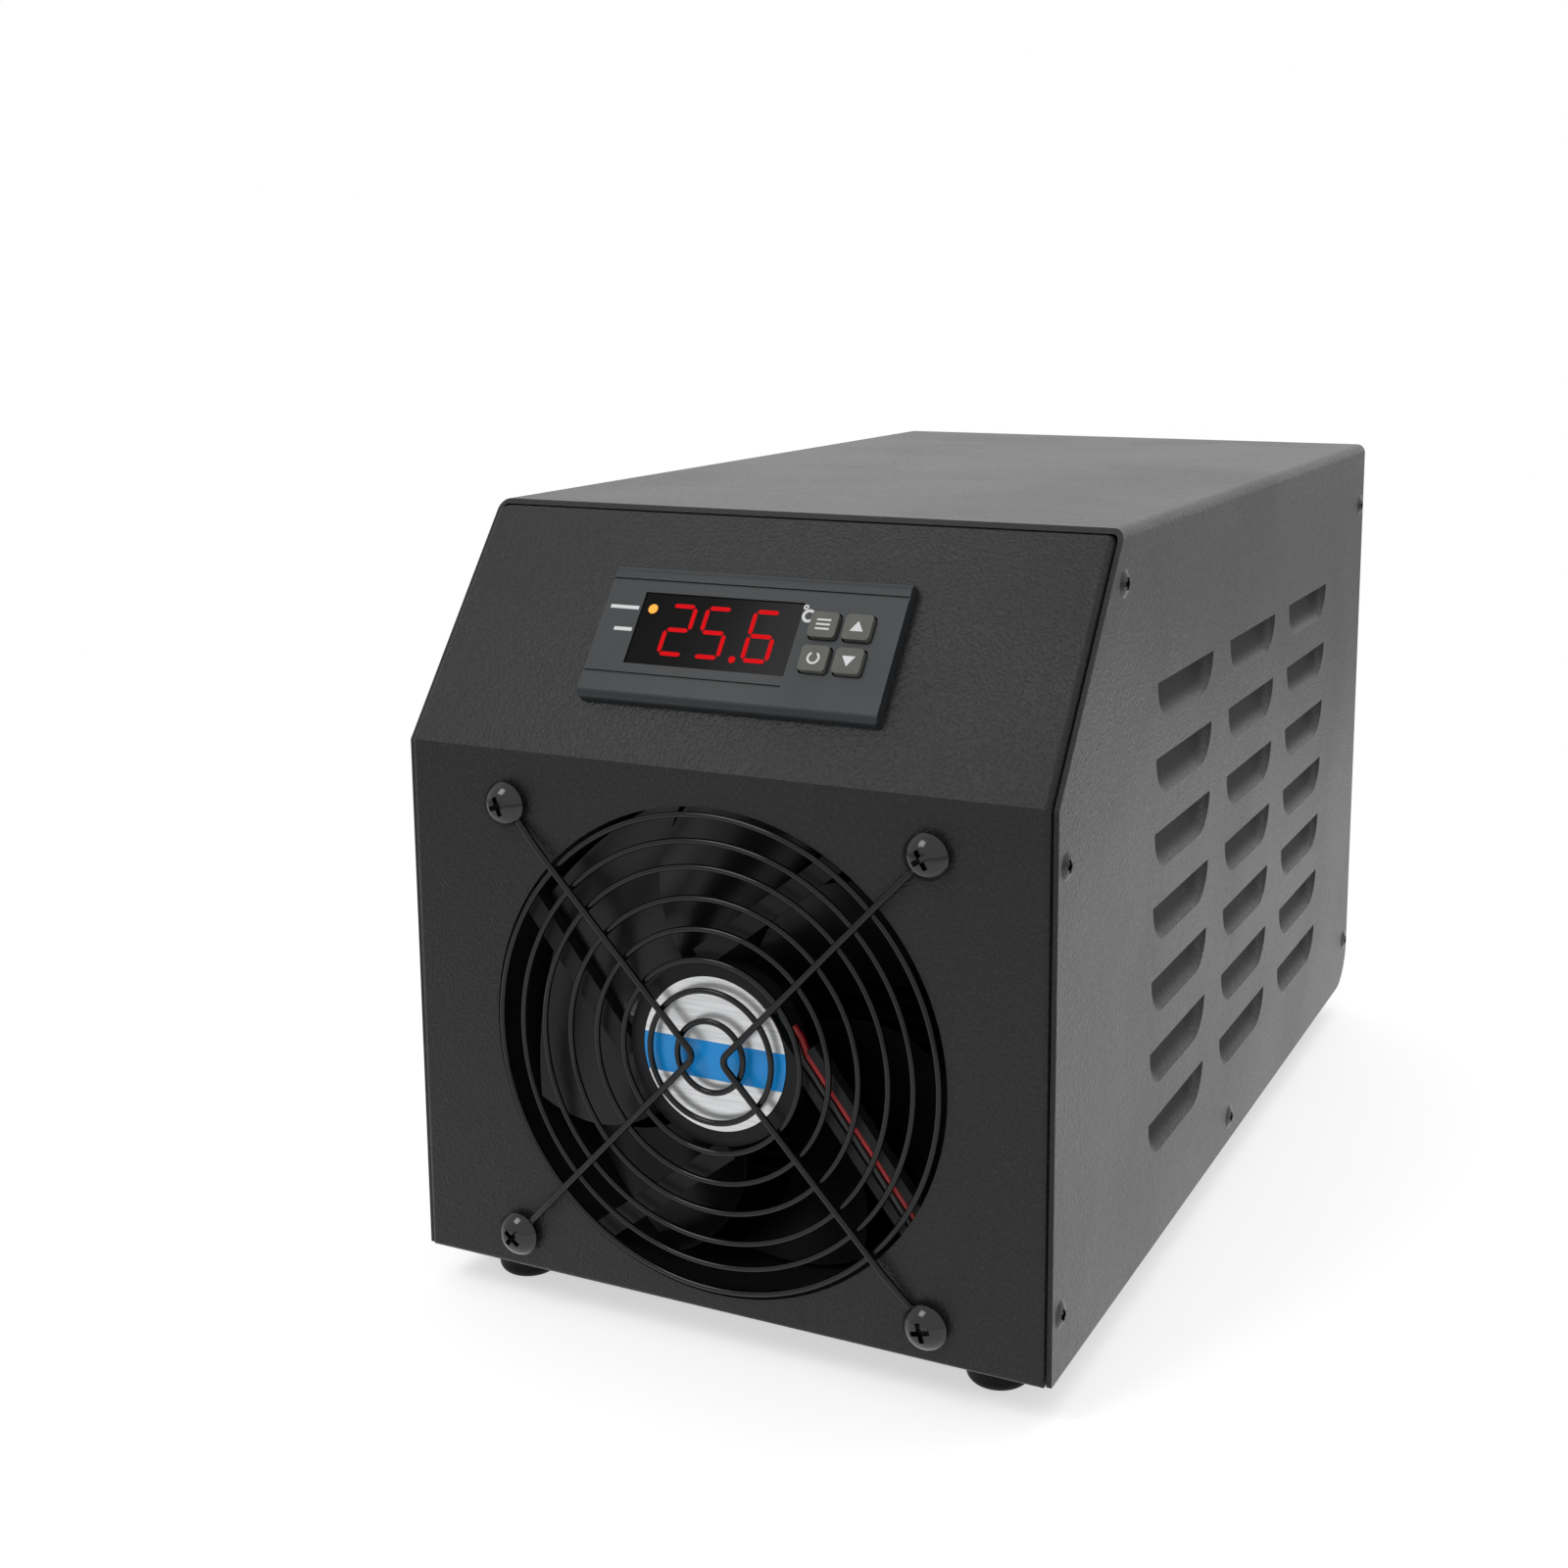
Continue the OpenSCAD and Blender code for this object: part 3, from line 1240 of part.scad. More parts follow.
module clamp_bar() {
  in_case() color([0.6, 0.6, 0.62]) difference() {
    box([-clamp_x - clamp_over, foam_y1, core_z - clamp_h / 2],
      [clamp_x + clamp_over, foam_y1 + clamp_t, core_z + clamp_h / 2]);
    for (x = [-clamp_x, clamp_x])
      hole_y(small_shank_r + screw_fit, foam_y1, clamp_t, x, core_z);
    for (x = [-hose_x, hose_x]) hole_y(fitting_r + screw_fit, foam_y1, clamp_t, x,
      core_z + sign(x) * block_h / 4);
    hole_y(probe_r + probe_fit, foam_y1, clamp_t, 0, core_z);
  }
}
module clamp_screws() {
  in_case() color([0.75, 0.75, 0.77]) for (x = [-clamp_x, clamp_x])
    translate([x, foam_y1 + clamp_t, core_z]) rotate([-90, 0, 0])
      screw(small_head_r, small_head_h, small_shank_r,
        foam_y1 + clamp_t - sink_back + tap_d * 0.9);
}
// Plain nipples that carry the inner hoses
fitting_r = 6;
fitting_bore_r = 4.2;
fitting_out = 20;
nipple_collar_r = 7.6;
nipple_collar_t = 2;
module block_fittings() {
  in_case() color([0.8, 0.8, 0.78]) for (x = [-hose_x, hose_x])
    translate([x, 0, core_z + sign(x) * block_h / 4]) difference() {
      rod_y(fitting_r, block_y1, foam_t + clamp_t + fitting_out);
      hole_y(fitting_bore_r, block_y1, foam_t + clamp_t + fitting_out);
    }
}
hose_y0 = foam_y1 + clamp_t + 6;
hose_turn_y = block_y1 + foam_t + clamp_t + fitting_out + 2;
tail_l = 20;
nut_t = 6;
tail_y0 = rear_y - panel_t - nut_t - tail_l;
hose_y1 = tail_y0 + tail_l - 2;
module inner_hoses() {
  in_case() color([0.85, 0.87, 0.88]) for (s = [-1, 1]) translate([s * hose_x, 0, 0])
    difference() {
      hose_form(hose_r, core_z + s * block_h / 4, 0);
      hose_form(hose_bore_r, core_z + s * block_h / 4, cut);
    }
}
// Straight, two quarter bends and straight again
module hose_form(r, z0, over) {
  rod_y(r, hose_y0 - over, hose_turn_y - hose_y0 + over, 0, z0);
  translate([0, hose_turn_y, z0 + hose_bend_r]) rotate([0, 90, 0])
    rotate_extrude(angle = 90) translate([hose_bend_r, 0]) circle(r);
  translate([0, hose_turn_y + hose_bend_r, z0 + hose_bend_r])
    cylinder(h = spigot_z - z0 - 2 * hose_bend_r, r = r);
  translate([0, hose_turn_y + 2 * hose_bend_r, spigot_z - hose_bend_r]) rotate([180, -90, 0])
    rotate_extrude(angle = 90) translate([hose_bend_r, 0]) circle(r);
  rod_y(r, hose_turn_y + 2 * hose_bend_r,
    hose_y1 - hose_turn_y - 2 * hose_bend_r + over, 0, spigot_z);
}

// Bulkhead spigots with ridged tails
module spigot(x) {
  seat = rear_y + seal_t;
  land = seat + hex_t;
  ridges = land + spigot_land_l;
  in_case() color([0.07, 0.07, 0.07]) translate([x, 0, spigot_z]) difference() {
    union() {
      translate([0, seat, 0]) rotate([-90, 0, 0]) cylinder(h = hex_t,
        r = hex_across / 2, $fn = 6);
      rod_y(thread_r, tail_y0 + tail_l, seat - tail_y0 - tail_l + hex_t / 2);
      rod_y(fitting_r, tail_y0, tail_l + hex_t);
      rod_y(spigot_r, land - hex_t / 2, spigot_land_l + hex_t / 2);
      rod_y(spigot_root_r, ridges - cut, ridge_l * ridge_count + cut);
      for (i = [0 : ridge_count - 1]) translate([0, ridges + i * ridge_l, 0])
        rotate([-90, 0, 0]) rotate_extrude() polygon([[0, 0], [spigot_root_r, 0],
          [spigot_r, ridge_l * 0.25], [spigot_root_r, ridge_l], [0, ridge_l]]);
    }
    rod_y(fitting_bore_r, tail_y0 - cut, seat - tail_y0 + 2 * cut);
    rod_y(spigot_bore_r, seat, spigot_reach + cut);
  }
}
module water_inlet() { spigot(-hose_x); }
module water_outlet() { spigot(hose_x); }
module spigot_nuts() {
  in_case() color([0.07, 0.07, 0.07]) for (x = [-hose_x, hose_x])
    translate([x, rear_y - panel_t - nut_t, spigot_z]) rotate([-90, 0, 0]) difference() {
      cylinder(h = nut_t, r = hex_across / 2, $fn = 6);
      translate([0, 0, -cut]) cylinder(h = nut_t + 2 * cut, r = thread_r + pilot_fit);
    }
}
seal_r = 12.6;
module spigot_seals() {
  in_case() color([0.03, 0.03, 0.03]) for (x = [-hose_x, hose_x])
    translate([x, 0, spigot_z]) difference() {
      rod_y(seal_r, rear_y, seal_t);
      hole_y(thread_r + pilot_fit, rear_y, seal_t);
    }
}

// Mains inlet: a flanged socket with three flat pins
inlet_flange_t = 2.6;
inlet_wall = 1.9;
inlet_back = 2.4;
inlet_corner_r = 5;
inlet_screw_r = 1.5;
inlet_head_r = 2.9;
inlet_head_h = 1.7;
socket_chamfer = 4.6;
pin_w = 4;
pin_t = 2;
pin_l = 14.5;
pin_step = 7;
pin_side = 3.6;
module socket_outline() {
  w = socket_w / 2;
  h = socket_h / 2;
  c = socket_chamfer;
  polygon([[-w, -h], [w - c, -h], [w, c - h], [w, h - c], [w - c, h], [-w, h]]);
}
module mains_inlet() {
  back = rear_y + inlet_flange_t - socket_d - inlet_back;
  in_case() color([0.05, 0.05, 0.05]) translate([inlet_x, 0, inlet_z]) difference() {
    union() {
      along_y(rear_y, inlet_flange_t) round_rect(inlet_w, inlet_h, inlet_corner_r);
      along_y(back, rear_y - back + inlet_flange_t / 2)
        square([socket_w + 2 * inlet_wall, socket_h + 2 * inlet_wall], center = true);
    }
    along_y(rear_y + inlet_flange_t - socket_d, socket_d + cut) socket_outline();
    for (z = [-1, 1]) hole_y(inlet_screw_r + screw_fit, rear_y, inlet_flange_t, 0, z * inlet_pitch / 2);
    for (p = pin_places) along_y(back - cut, inlet_back + 2 * cut)
      translate(p) square([pin_t, pin_w], center = true);
  }
}
pin_places = [[pin_side, 0], [-pin_side / 2, pin_step], [-pin_side / 2, -pin_step]];
module inlet_pins() {
  back = rear_y + inlet_flange_t - socket_d - inlet_back;
  in_case() color([0.8, 0.75, 0.5]) translate([inlet_x, 0, inlet_z]) for (p = pin_places)
    along_y(back - tab_l, tab_l + inlet_back + pin_l)
      translate(p) square([pin_t, pin_w], center = true);
}
module inlet_screws() {
  in_case() color([0.1, 0.1, 0.1]) for (z = [-1, 1])
    translate([inlet_x, rear_y + inlet_flange_t, inlet_z + z * inlet_pitch / 2])
      rotate([-90, 0, 0]) screw(inlet_head_r, inlet_head_h, inlet_screw_r,
        inlet_flange_t + panel_t * 3);
}

// Rocker switch: a snap-in housing and a rocker on its cross axis
switch_w = 13;
switch_h = 19;
switch_flange = 2;
switch_flange_t = 1.8;
switch_d = 14;
switch_tab_x = 2.6;
switch_tab_t = 0.8;
switch_tab_w = 4.3;
rocker_gap = 0.4;
rocker_tilt = 10;
rocker_pivot_in = 1.6;
rocker_floor = 7;
rocker_pin_r = 1.2;
rocker_pin_l = 0.9;
rocker_pin_fit = 0.06;
rocker_wall = 1.3;
module switch_housing() {
  w = switch_w - 2 * rocker_wall;
  h = switch_h - 2 * rocker_wall;
  in_case() color([0.05, 0.05, 0.05]) translate([inlet_x, 0, switch_z]) difference() {
    union() {
      along_y(rear_y, switch_flange_t)
        round_rect(switch_w + 2 * switch_flange, switch_h + 2 * switch_flange, 1.2);
      along_y(rear_y - switch_d, switch_d + switch_flange_t / 2)
        square([switch_w, switch_h], center = true);
      for (x = [-1, 1]) box([x * switch_tab_x - switch_tab_t / 2, rear_y - switch_d - tab_l,
        -switch_tab_w / 2],
          [x * switch_tab_x + switch_tab_t / 2, rear_y - switch_d + cut,
            switch_tab_w / 2]);
    }
    along_y(rear_y + switch_flange_t - rocker_floor, rocker_floor + cut)
      square([w, h], center = true);
    rod_x(rocker_pin_r + rocker_pin_fit, -w / 2 - rocker_pin_l - rocker_pin_fit,
      w + 2 * rocker_pin_l + 2 * rocker_pin_fit, rear_y + switch_flange_t - pivot_depth, 0);
  }
}
pivot_depth = 2.6;
rocker_top = 2.4;
module switch_rocker() {
  w = switch_w - 2 * rocker_wall - 2 * rocker_gap;
  reach = switch_h / 2 - rocker_wall - rocker_gap;
  in_case() color([0.08, 0.08, 0.08])
    translate([inlet_x, rear_y + switch_flange_t - pivot_depth, switch_z])
      rotate([rocker_tilt, 0, 0]) {
        intersection() {
          along_x(-w / 2, w) polygon([[-rocker_top, 0], [0, -reach],
            [pivot_depth + rocker_top, -reach],
            [pivot_depth, 0], [pivot_depth + rocker_top, reach], [0, reach]]);
          rod_x(reach, -w, 2 * w);
        }
        rod_x(rocker_pin_r, -w / 2 - rocker_pin_l - rocker_gap,
          w + 2 * rocker_pin_l + 2 * rocker_gap);
      }
}

// Enclosed power supply on the tray
supply_places = [for (x = [-1, 1], y = [0.12, 0.8])
  [x * psu_w * 0.36, psu_y + psu_l * y]];
vent_hole_r = 2.2;
terminal_end = 18;
module supply_case() {
  hole_cols = 9;
  hole_rows = 5;
  in_case() color([0.7, 0.71, 0.72]) translate([0, psu_y, tray_z]) difference() {
    box([-psu_w / 2, 0, 0], [psu_w / 2, psu_l, psu_h]);
    box([psu_t - psu_w / 2, -cut, psu_t], [psu_w / 2 - psu_t, psu_l - psu_t, psu_h - psu_t]);
    box([-psu_w, -cut, terminal_end], [psu_w, terminal_end, psu_h + cut]);
    for (i = [0 : hole_cols - 1], j = [0 : hole_rows - 1])
      translate([(j - (hole_rows - 1) / 2) * psu_w / (hole_rows + 1),
        terminal_end + (i + 1) * (psu_l - terminal_end) / (hole_cols + 1),
        psu_h - psu_t - cut]) cylinder(h = psu_t + 2 * cut, r = vent_hole_r);
    for (p = supply_places) translate([p[0], p[1] - psu_y, -cut])
      cylinder(h = psu_t + 2 * cut, r = small_shank_r + pilot_fit);
  }
}
module supply_board() {
  in_case() color([0.1, 0.35, 0.2]) {
    box([psu_t + psu_wall_gap - psu_w / 2, psu_y + psu_wall_gap, psu_board_z],
      [psu_w / 2 - psu_t - psu_wall_gap, psu_y + psu_l - psu_t - psu_wall_gap,
        psu_board_z + pcb_t]);
    for (x = [-1, 1], y = [0.3, 0.7])
      translate([x * psu_w * 0.36, psu_y + psu_l * y, tray_z + psu_t])
        cylinder(h = psu_board_z - tray_z - psu_t + pcb_t / 2, r = boss_r);
  }
}
module supply_parts() {
  top = psu_board_z + pcb_t;
  tall = psu_h - psu_t - board_lift - pcb_t - 2 * psu_t;
  in_case() color([0.35, 0.3, 0.2]) translate([0, psu_y, top]) {
    translate([-psu_w * 0.1, psu_l * 0.42, 0]) cube([psu_w * 0.36, psu_l * 0.2, tall * 0.85]);
    for (i = [0 : 2]) translate([-psu_w * 0.32, psu_l * (0.35 + 0.2 * i), 0])
      cylinder(h = tall * 0.8, r = psu_w * 0.1);
    translate([psu_w * 0.36, psu_l * 0.2, 0]) cube([psu_t * 2, psu_l * 0.7, tall * 0.9]);
    translate([-psu_w * 0.1, psu_l * 0.75, 0]) cube([psu_w * 0.3, psu_l * 0.14, tall * 0.6]);
  }
}
module supply_terminals() {
  in_case() color([0.06, 0.06, 0.06])
    translate([-slot_count * slot_pitch / 2, psu_y + terminal_in, psu_board_z + pcb_t])
      difference() {
        cube([slot_count * slot_pitch, terminal_end - psu_t, terminal_body_h]);
        for (i = [0 : slot_count - 1]) translate([(i + (1 - slot_share) / 2)
          * slot_pitch, -cut, psu_t])
          cube([slot_pitch * slot_share, slot_d + cut, terminal_body_h]);
      }
}
module supply_screws() {
  in_case() color([0.1, 0.1, 0.1]) for (p = supply_places)
    translate([p[0], p[1], panel_t]) rotate([180, 0, 0])
      screw(small_head_r, small_head_h, small_shank_r, panel_t + psu_t);
}

// Leads inside: the mains leads lie on the supply and drop to its terminals
mains_r = 1.3;
mains_gap = 4;
mains_run_z = tray_z + psu_h + mains_r + wire_gap;
mains_low_z = psu_board_z + pcb_t + psu_t + mains_r + 2 * wire_gap;
tab_y = rear_y + inlet_flange_t - socket_d - inlet_back - tab_l;
switch_tab_y = rear_y - switch_d - tab_l;
module lead(points, r) {
  tube_path(rounded(points, 2 * r, 3), r, [1, 0, 0]);
}
module mains_lead(start, k, down_x) {
  back = tab_y - (1.5 * k + 2) * mains_gap;
  x = (k + 9) * mains_gap;
  drop = psu_y - (k * 0.75 + 1.5) * mains_gap;
  lead([start, [start[0], back, start[2]], [down_x, back, start[2] - cut],
    [down_x, back, mains_run_z], [x, back, mains_run_z], [x, drop, mains_run_z],
    [slot_x(4 + k), drop, mains_run_z - cut], [slot_x(4 + k), drop, mains_low_z],
    [slot_x(4 + k), slot_end_y, mains_low_z]], mains_r);
}
module mains_leads() {
  live = [inlet_x + pin_places[1][0], tab_y, inlet_z + pin_places[1][1]];
  neutral = [inlet_x + pin_places[2][0], tab_y, inlet_z + pin_places[2][1]];
  earth = [inlet_x + pin_places[0][0], tab_y, inlet_z];
  switched = [inlet_x + switch_tab_x, switch_tab_y, switch_z];
  in_case() color([0.55, 0.35, 0.1]) {
    lead([live, live - [0, 2 * mains_gap, 0],
      [inlet_x - switch_tab_x, tab_y - 2 * mains_gap, switch_z],
      [inlet_x - switch_tab_x, switch_tab_y, switch_z]], mains_r);
    mains_lead(neutral, 0, neutral[0] - 2 * mains_r);
    mains_lead(switched, 1, switched[0] + 2 * mains_gap);
    mains_lead(earth, 2, earth[0] + 2 * mains_r);
  }
}
// Low-voltage leads: two from each module, and two between the thermostat and the supply
power_run_y = foam_y1 + clamp_t + 3;
control_y = power_run_y + 6;
module power_leads() {
  y0 = sink_back + module_t / 2;
  drop = psu_y - 1.5 * mains_gap;
  ends = [slot_x(3), slot_x(2) - 4 * lead_r, slot_x(3) + 3.5 * lead_r, slot_x(2) - lead_r / 2];
  in_case() color([0.5, 0.06, 0.06]) {
    for (i = [0 : 3]) {
      z = sink_low - (i % 2) * 4 * lead_r;
      from = module_lead_x[i];
      lead([[from, y0, core_z - module_w / 2], [from, y0, z], [from, power_run_y, z],
        [ends[i], power_run_y, z], [ends[i], drop, z], [ends[i], drop, lead_low_z],
        [ends[i], slot_end_y, lead_low_z]], lead_r);
    }
    for (i = [-1, 0]) {
      x = terminal_x(i);
      lead([face_point([x, 0, -case_back - terminal_t / 2]),
        face_point([x, 0, -case_back - 2 * terminal_t]),
        [x, control_y, sink_low + sink_h], [x, control_y, lead_low_z],
        [x, slot_end_y, lead_low_z]], lead_r);
    }
  }
}
// Sensor in the cold block, its lead rising to the thermostat's terminals
module water_sensor() {
  tip = block_y1 - probe_in;
  end = foam_y1 + clamp_t + probe_out;
  x = terminal_x(1);
  in_case() color([0.75, 0.76, 0.78]) {
    rod_y(probe_r, tip, end - tip, 0, core_z);
    lead([[0, end - probe_out / 2, core_z], [0, end + probe_out, core_z],
      [0, end + probe_out, sink_low + sink_h],
      face_point([x, 0, -case_back - 2 * terminal_t]),
      face_point([x, 0, -case_back - terminal_t / 2])], lead_r);
  }
}
function terminal_x(i) = (i - 0.5) * skirt_w / 10;
function face_point(p) =
  let (a = slope_angle, y = p[1] + face_up, z = p[2])
  [p[0], panel_y * sin(a) + y * cos(a) - z * sin(a),
    crease_h - panel_y * cos(a) + y * sin(a) + z * cos(a)];

cover();
cover_screws();
front_panel();
rear_panel();
base_tray();
frame_screws();
feet();
foot_screws();
fan_frame();
fan_impeller();
fan_shaft();
fan_magnet();
fan_bearings();
fan_stator();
fan_coils();
fan_board();
fan_label();
fan_lead_red();
fan_lead_black();
fan_guard();
guard_screws();
thermostat_bezel();
thermostat_window();
thermostat_case();
thermostat_board();
thermostat_display();
thermostat_switches();
thermostat_terminals();
thermostat_clips();
button_set();
button_reset();
button_up();
button_down();
heat_sink();
sink_brackets();
bracket_screws();
cooling_modules();
cold_block();
block_foam();
clamp_bar();
clamp_screws();
block_fittings();
inner_hoses();
water_inlet();
water_outlet();
spigot_nuts();
spigot_seals();
water_sensor();
mains_inlet();
inlet_pins();
inlet_screws();
switch_housing();
switch_rocker();
supply_case();
supply_board();
supply_parts();
supply_terminals();
supply_screws();
mains_leads();
power_leads();
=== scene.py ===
"""Looks for the aquarium chiller: finishes on every sheet, moulding and wire, a fine fan and guard,
the thermostat's display and key marks, a pale floor, soft studio light and the camera."""

import json
import math

import bmesh
import bpy
from mathutils import Matrix, Vector

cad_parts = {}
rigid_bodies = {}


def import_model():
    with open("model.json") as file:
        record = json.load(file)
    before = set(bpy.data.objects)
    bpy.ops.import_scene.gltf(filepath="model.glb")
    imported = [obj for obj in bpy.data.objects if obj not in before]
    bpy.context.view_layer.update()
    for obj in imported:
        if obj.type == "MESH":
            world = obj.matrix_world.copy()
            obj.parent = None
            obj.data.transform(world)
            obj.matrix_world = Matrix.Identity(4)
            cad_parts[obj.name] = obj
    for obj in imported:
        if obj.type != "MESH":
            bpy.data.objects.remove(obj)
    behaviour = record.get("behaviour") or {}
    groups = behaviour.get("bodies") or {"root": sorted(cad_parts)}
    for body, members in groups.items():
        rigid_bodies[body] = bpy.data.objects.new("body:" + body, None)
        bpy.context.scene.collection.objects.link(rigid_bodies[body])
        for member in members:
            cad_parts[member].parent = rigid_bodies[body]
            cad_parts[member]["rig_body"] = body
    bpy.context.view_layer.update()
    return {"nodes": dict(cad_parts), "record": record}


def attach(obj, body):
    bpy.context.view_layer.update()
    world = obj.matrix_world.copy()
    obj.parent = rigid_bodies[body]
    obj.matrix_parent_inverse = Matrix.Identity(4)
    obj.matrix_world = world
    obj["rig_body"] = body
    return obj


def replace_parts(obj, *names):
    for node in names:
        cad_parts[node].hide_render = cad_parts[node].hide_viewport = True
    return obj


for leftover in list(bpy.data.objects):
    bpy.data.objects.remove(leftover)
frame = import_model()
nodes_of_part = frame["nodes"]
scene = bpy.context.scene

# Sizes in millimetres, as in the part's source
MM = 0.001
FRONT_Y = -156.169
FOOT_H = 10
CASE_W, CASE_H = 161, 179
CREASE_H, SLOPE_BACK, PANEL_OUT = 126, 40, 1.6
SLOPE = math.atan2(CASE_H - CREASE_H, SLOPE_BACK)
FACE_UP, FACE_T, BUTTON_OUT = 30.7, 3, 1.3
FAN_Y, FAN_Z, FAN_DEPTH, FAN_SIZE, FAN_PITCH = -0.4, 61.5, 25, 120, 105
LENS_OUT = 2.6
BUTTONS = {"set": (19.5, 4.5), "up": (27.8, 4.5), "reset": (19.5, -3.8), "down": (27.8, -3.8)}


def case_point(x, y, z):
    """A place in the case's own frame, in metres in the part's frame."""
    return Vector((x, y + FRONT_Y, z + FOOT_H)) * MM


def fan_point(x, y, z):
    return case_point(x, y, z + FAN_Z)


def face_point(x, up, out):
    """A place on the thermostat's face: across, up the slope and out of the panel."""
    along = up + FACE_UP
    over = out + PANEL_OUT
    y = along * math.cos(SLOPE) - over * math.sin(SLOPE)
    z = CREASE_H + along * math.sin(SLOPE) + over * math.cos(SLOPE)
    return case_point(x, y, z)


# Camera
camera_data = bpy.data.cameras.new("camera")
camera = bpy.data.objects.new("camera", camera_data)
scene.collection.objects.link(camera)
scene.camera = camera
camera_data.sensor_width = 36
camera_data.lens = 47.166
camera_data.shift_x = -0.04237
camera_data.shift_y = -0.0939
camera_data.clip_start, camera_data.clip_end = 0.02, 40
camera.matrix_world = Matrix((
    (0.90297073, -0.07001471, 0.42395967, 0.215505),
    (0.42968435, 0.15608094, -0.88938749, -0.380816 + FRONT_Y * MM),
    (-0.00390182, 0.9852597, 0.17102074, 0.241733),
    (0, 0, 0, 1)))


# Shared shader groups
def shader_group(name, inputs, outputs):
    group = bpy.data.node_groups.new(name, "ShaderNodeTree")
    for label, kind, value in inputs:
        socket = group.interface.new_socket(label, in_out="INPUT", socket_type=kind)
        if value is not None:
            socket.default_value = value
    for label in outputs:
        group.interface.new_socket(label, in_out="OUTPUT", socket_type="NodeSocketFloat")
    return group, group.nodes.new("NodeGroupInput"), group.nodes.new("NodeGroupOutput")


def noise(tree, vector, scale, detail=3, rough=0.5, distortion=0.0):
    """A noise texture fed by sockets or plain numbers; gives its Fac socket."""
    texture = tree.nodes.new("ShaderNodeTexNoise")
    texture.inputs["Detail"].default_value = detail
    texture.inputs["Roughness"].default_value = rough
    texture.inputs["Distortion"].default_value = distortion
    tree.links.new(vector, texture.inputs["Vector"])
    if isinstance(scale, (int, float)):
        texture.inputs["Scale"].default_value = scale
    else:
        tree.links.new(scale, texture.inputs["Scale"])
    return texture.outputs["Fac"]


def reckon(tree, operation, first, second=None, third=None):
    """A Math node on sockets or plain numbers."""
    node = tree.nodes.new("ShaderNodeMath")
    node.operation = operation
    for socket, value in zip(node.inputs, (first, second, third)):
        if value is None:
            continue
        if isinstance(value, (int, float)):
            socket.default_value = value
        else:
            tree.links.new(value, socket)
    return node.outputs[0]


def spread(tree, value, low, high, to_low=0.0, to_high=1.0, smooth=True):
    """Maps a value from one range to another, kept inside it."""
    node = tree.nodes.new("ShaderNodeMapRange")
    node.interpolation_type = "SMOOTHSTEP" if smooth else "LINEAR"
    node.inputs["From Min"].default_value = low
    node.inputs["From Max"].default_value = high
    node.inputs["To Min"].default_value = to_low
    node.inputs["To Max"].default_value = to_high
    tree.links.new(value, node.inputs["Value"])
    return node.outputs["Result"]


SKIN_INPUTS = [("Vector", "NodeSocketVector", None), ("Grain", "NodeSocketFloat", 1500.0)]
SKIN_OUTPUTS = ["Height", "Tone", "Gloss"]


def powder_coat_group():
    """Baked powder: rounded grains close together, with a faint wider ripple."""
    group, enter, leave = shader_group("powder_coat", SKIN_INPUTS, SKIN_OUTPUTS)
    place, grain = enter.outputs["Vector"], enter.outputs["Grain"]
    cells = group.nodes.new("ShaderNodeTexVoronoi")
    cells.feature = "SMOOTH_F1"
    cells.inputs["Smoothness"].default_value = 0.6
    group.links.new(place, cells.inputs["Vector"])
    group.links.new(grain, cells.inputs["Scale"])
    beads = spread(group, cells.outputs["Distance"], 0.05, 0.65, 1.0, 0.0)
    fine = noise(group, place, grain, 4, 0.6)
    ripple = noise(group, place, reckon(group, "MULTIPLY", grain, 0.16), 2, 0.5)
    height = reckon(group, "MULTIPLY_ADD", fine, 0.6, reckon(group, "MULTIPLY", beads, 0.4))
    height = reckon(group, "MULTIPLY_ADD", ripple, 0.7, height)
    speck = spread(group, noise(group, place, reckon(group, "MULTIPLY", grain, 0.8), 2, 0.6), 0.46, 0.72)
    group.links.new(height, leave.inputs["Height"])
    group.links.new(speck, leave.inputs["Tone"])
    group.links.new(fine, leave.inputs["Gloss"])
    return group


def moulded_group():
    """Moulded plastic: spark-eroded fine texture and slow flow marks."""
    group, enter, leave = shader_group("moulded_skin", SKIN_INPUTS, SKIN_OUTPUTS)
    place, grain = enter.outputs["Vector"], enter.outputs["Grain"]
    fine = noise(group, place, grain, 3, 0.55)
    flow = noise(group, place, reckon(group, "MULTIPLY", grain, 0.02), 2, 0.5, 0.8)
    height = reckon(group, "MULTIPLY_ADD", flow, 0.5, fine)
    group.links.new(height, leave.inputs["Height"])
    group.links.new(spread(group, flow, 0.3, 0.7), leave.inputs["Tone"])
    group.links.new(fine, leave.inputs["Gloss"])
    return group


def brushed_group():
    """Drawn or ground metal: lines along X, broken up, with a soft cloud over them."""
    group, enter, leave = shader_group("brushed_lines", SKIN_INPUTS, SKIN_OUTPUTS)
    place, grain = enter.outputs["Vector"], enter.outputs["Grain"]
    stretch = group.nodes.new("ShaderNodeMapping")
    stretch.inputs["Scale"].default_value = (0.03, 1.0, 1.0)
    group.links.new(place, stretch.inputs["Vector"])
    lines = noise(group, stretch.outputs["Vector"], grain, 4, 0.65)
    cloud = noise(group, place, reckon(group, "MULTIPLY", grain, 0.03), 3, 0.5)
    group.links.new(lines, leave.inputs["Height"])
    group.links.new(spread(group, lines, 0.3, 0.7), leave.inputs["Tone"])
    group.links.new(cloud, leave.inputs["Gloss"])
    return group


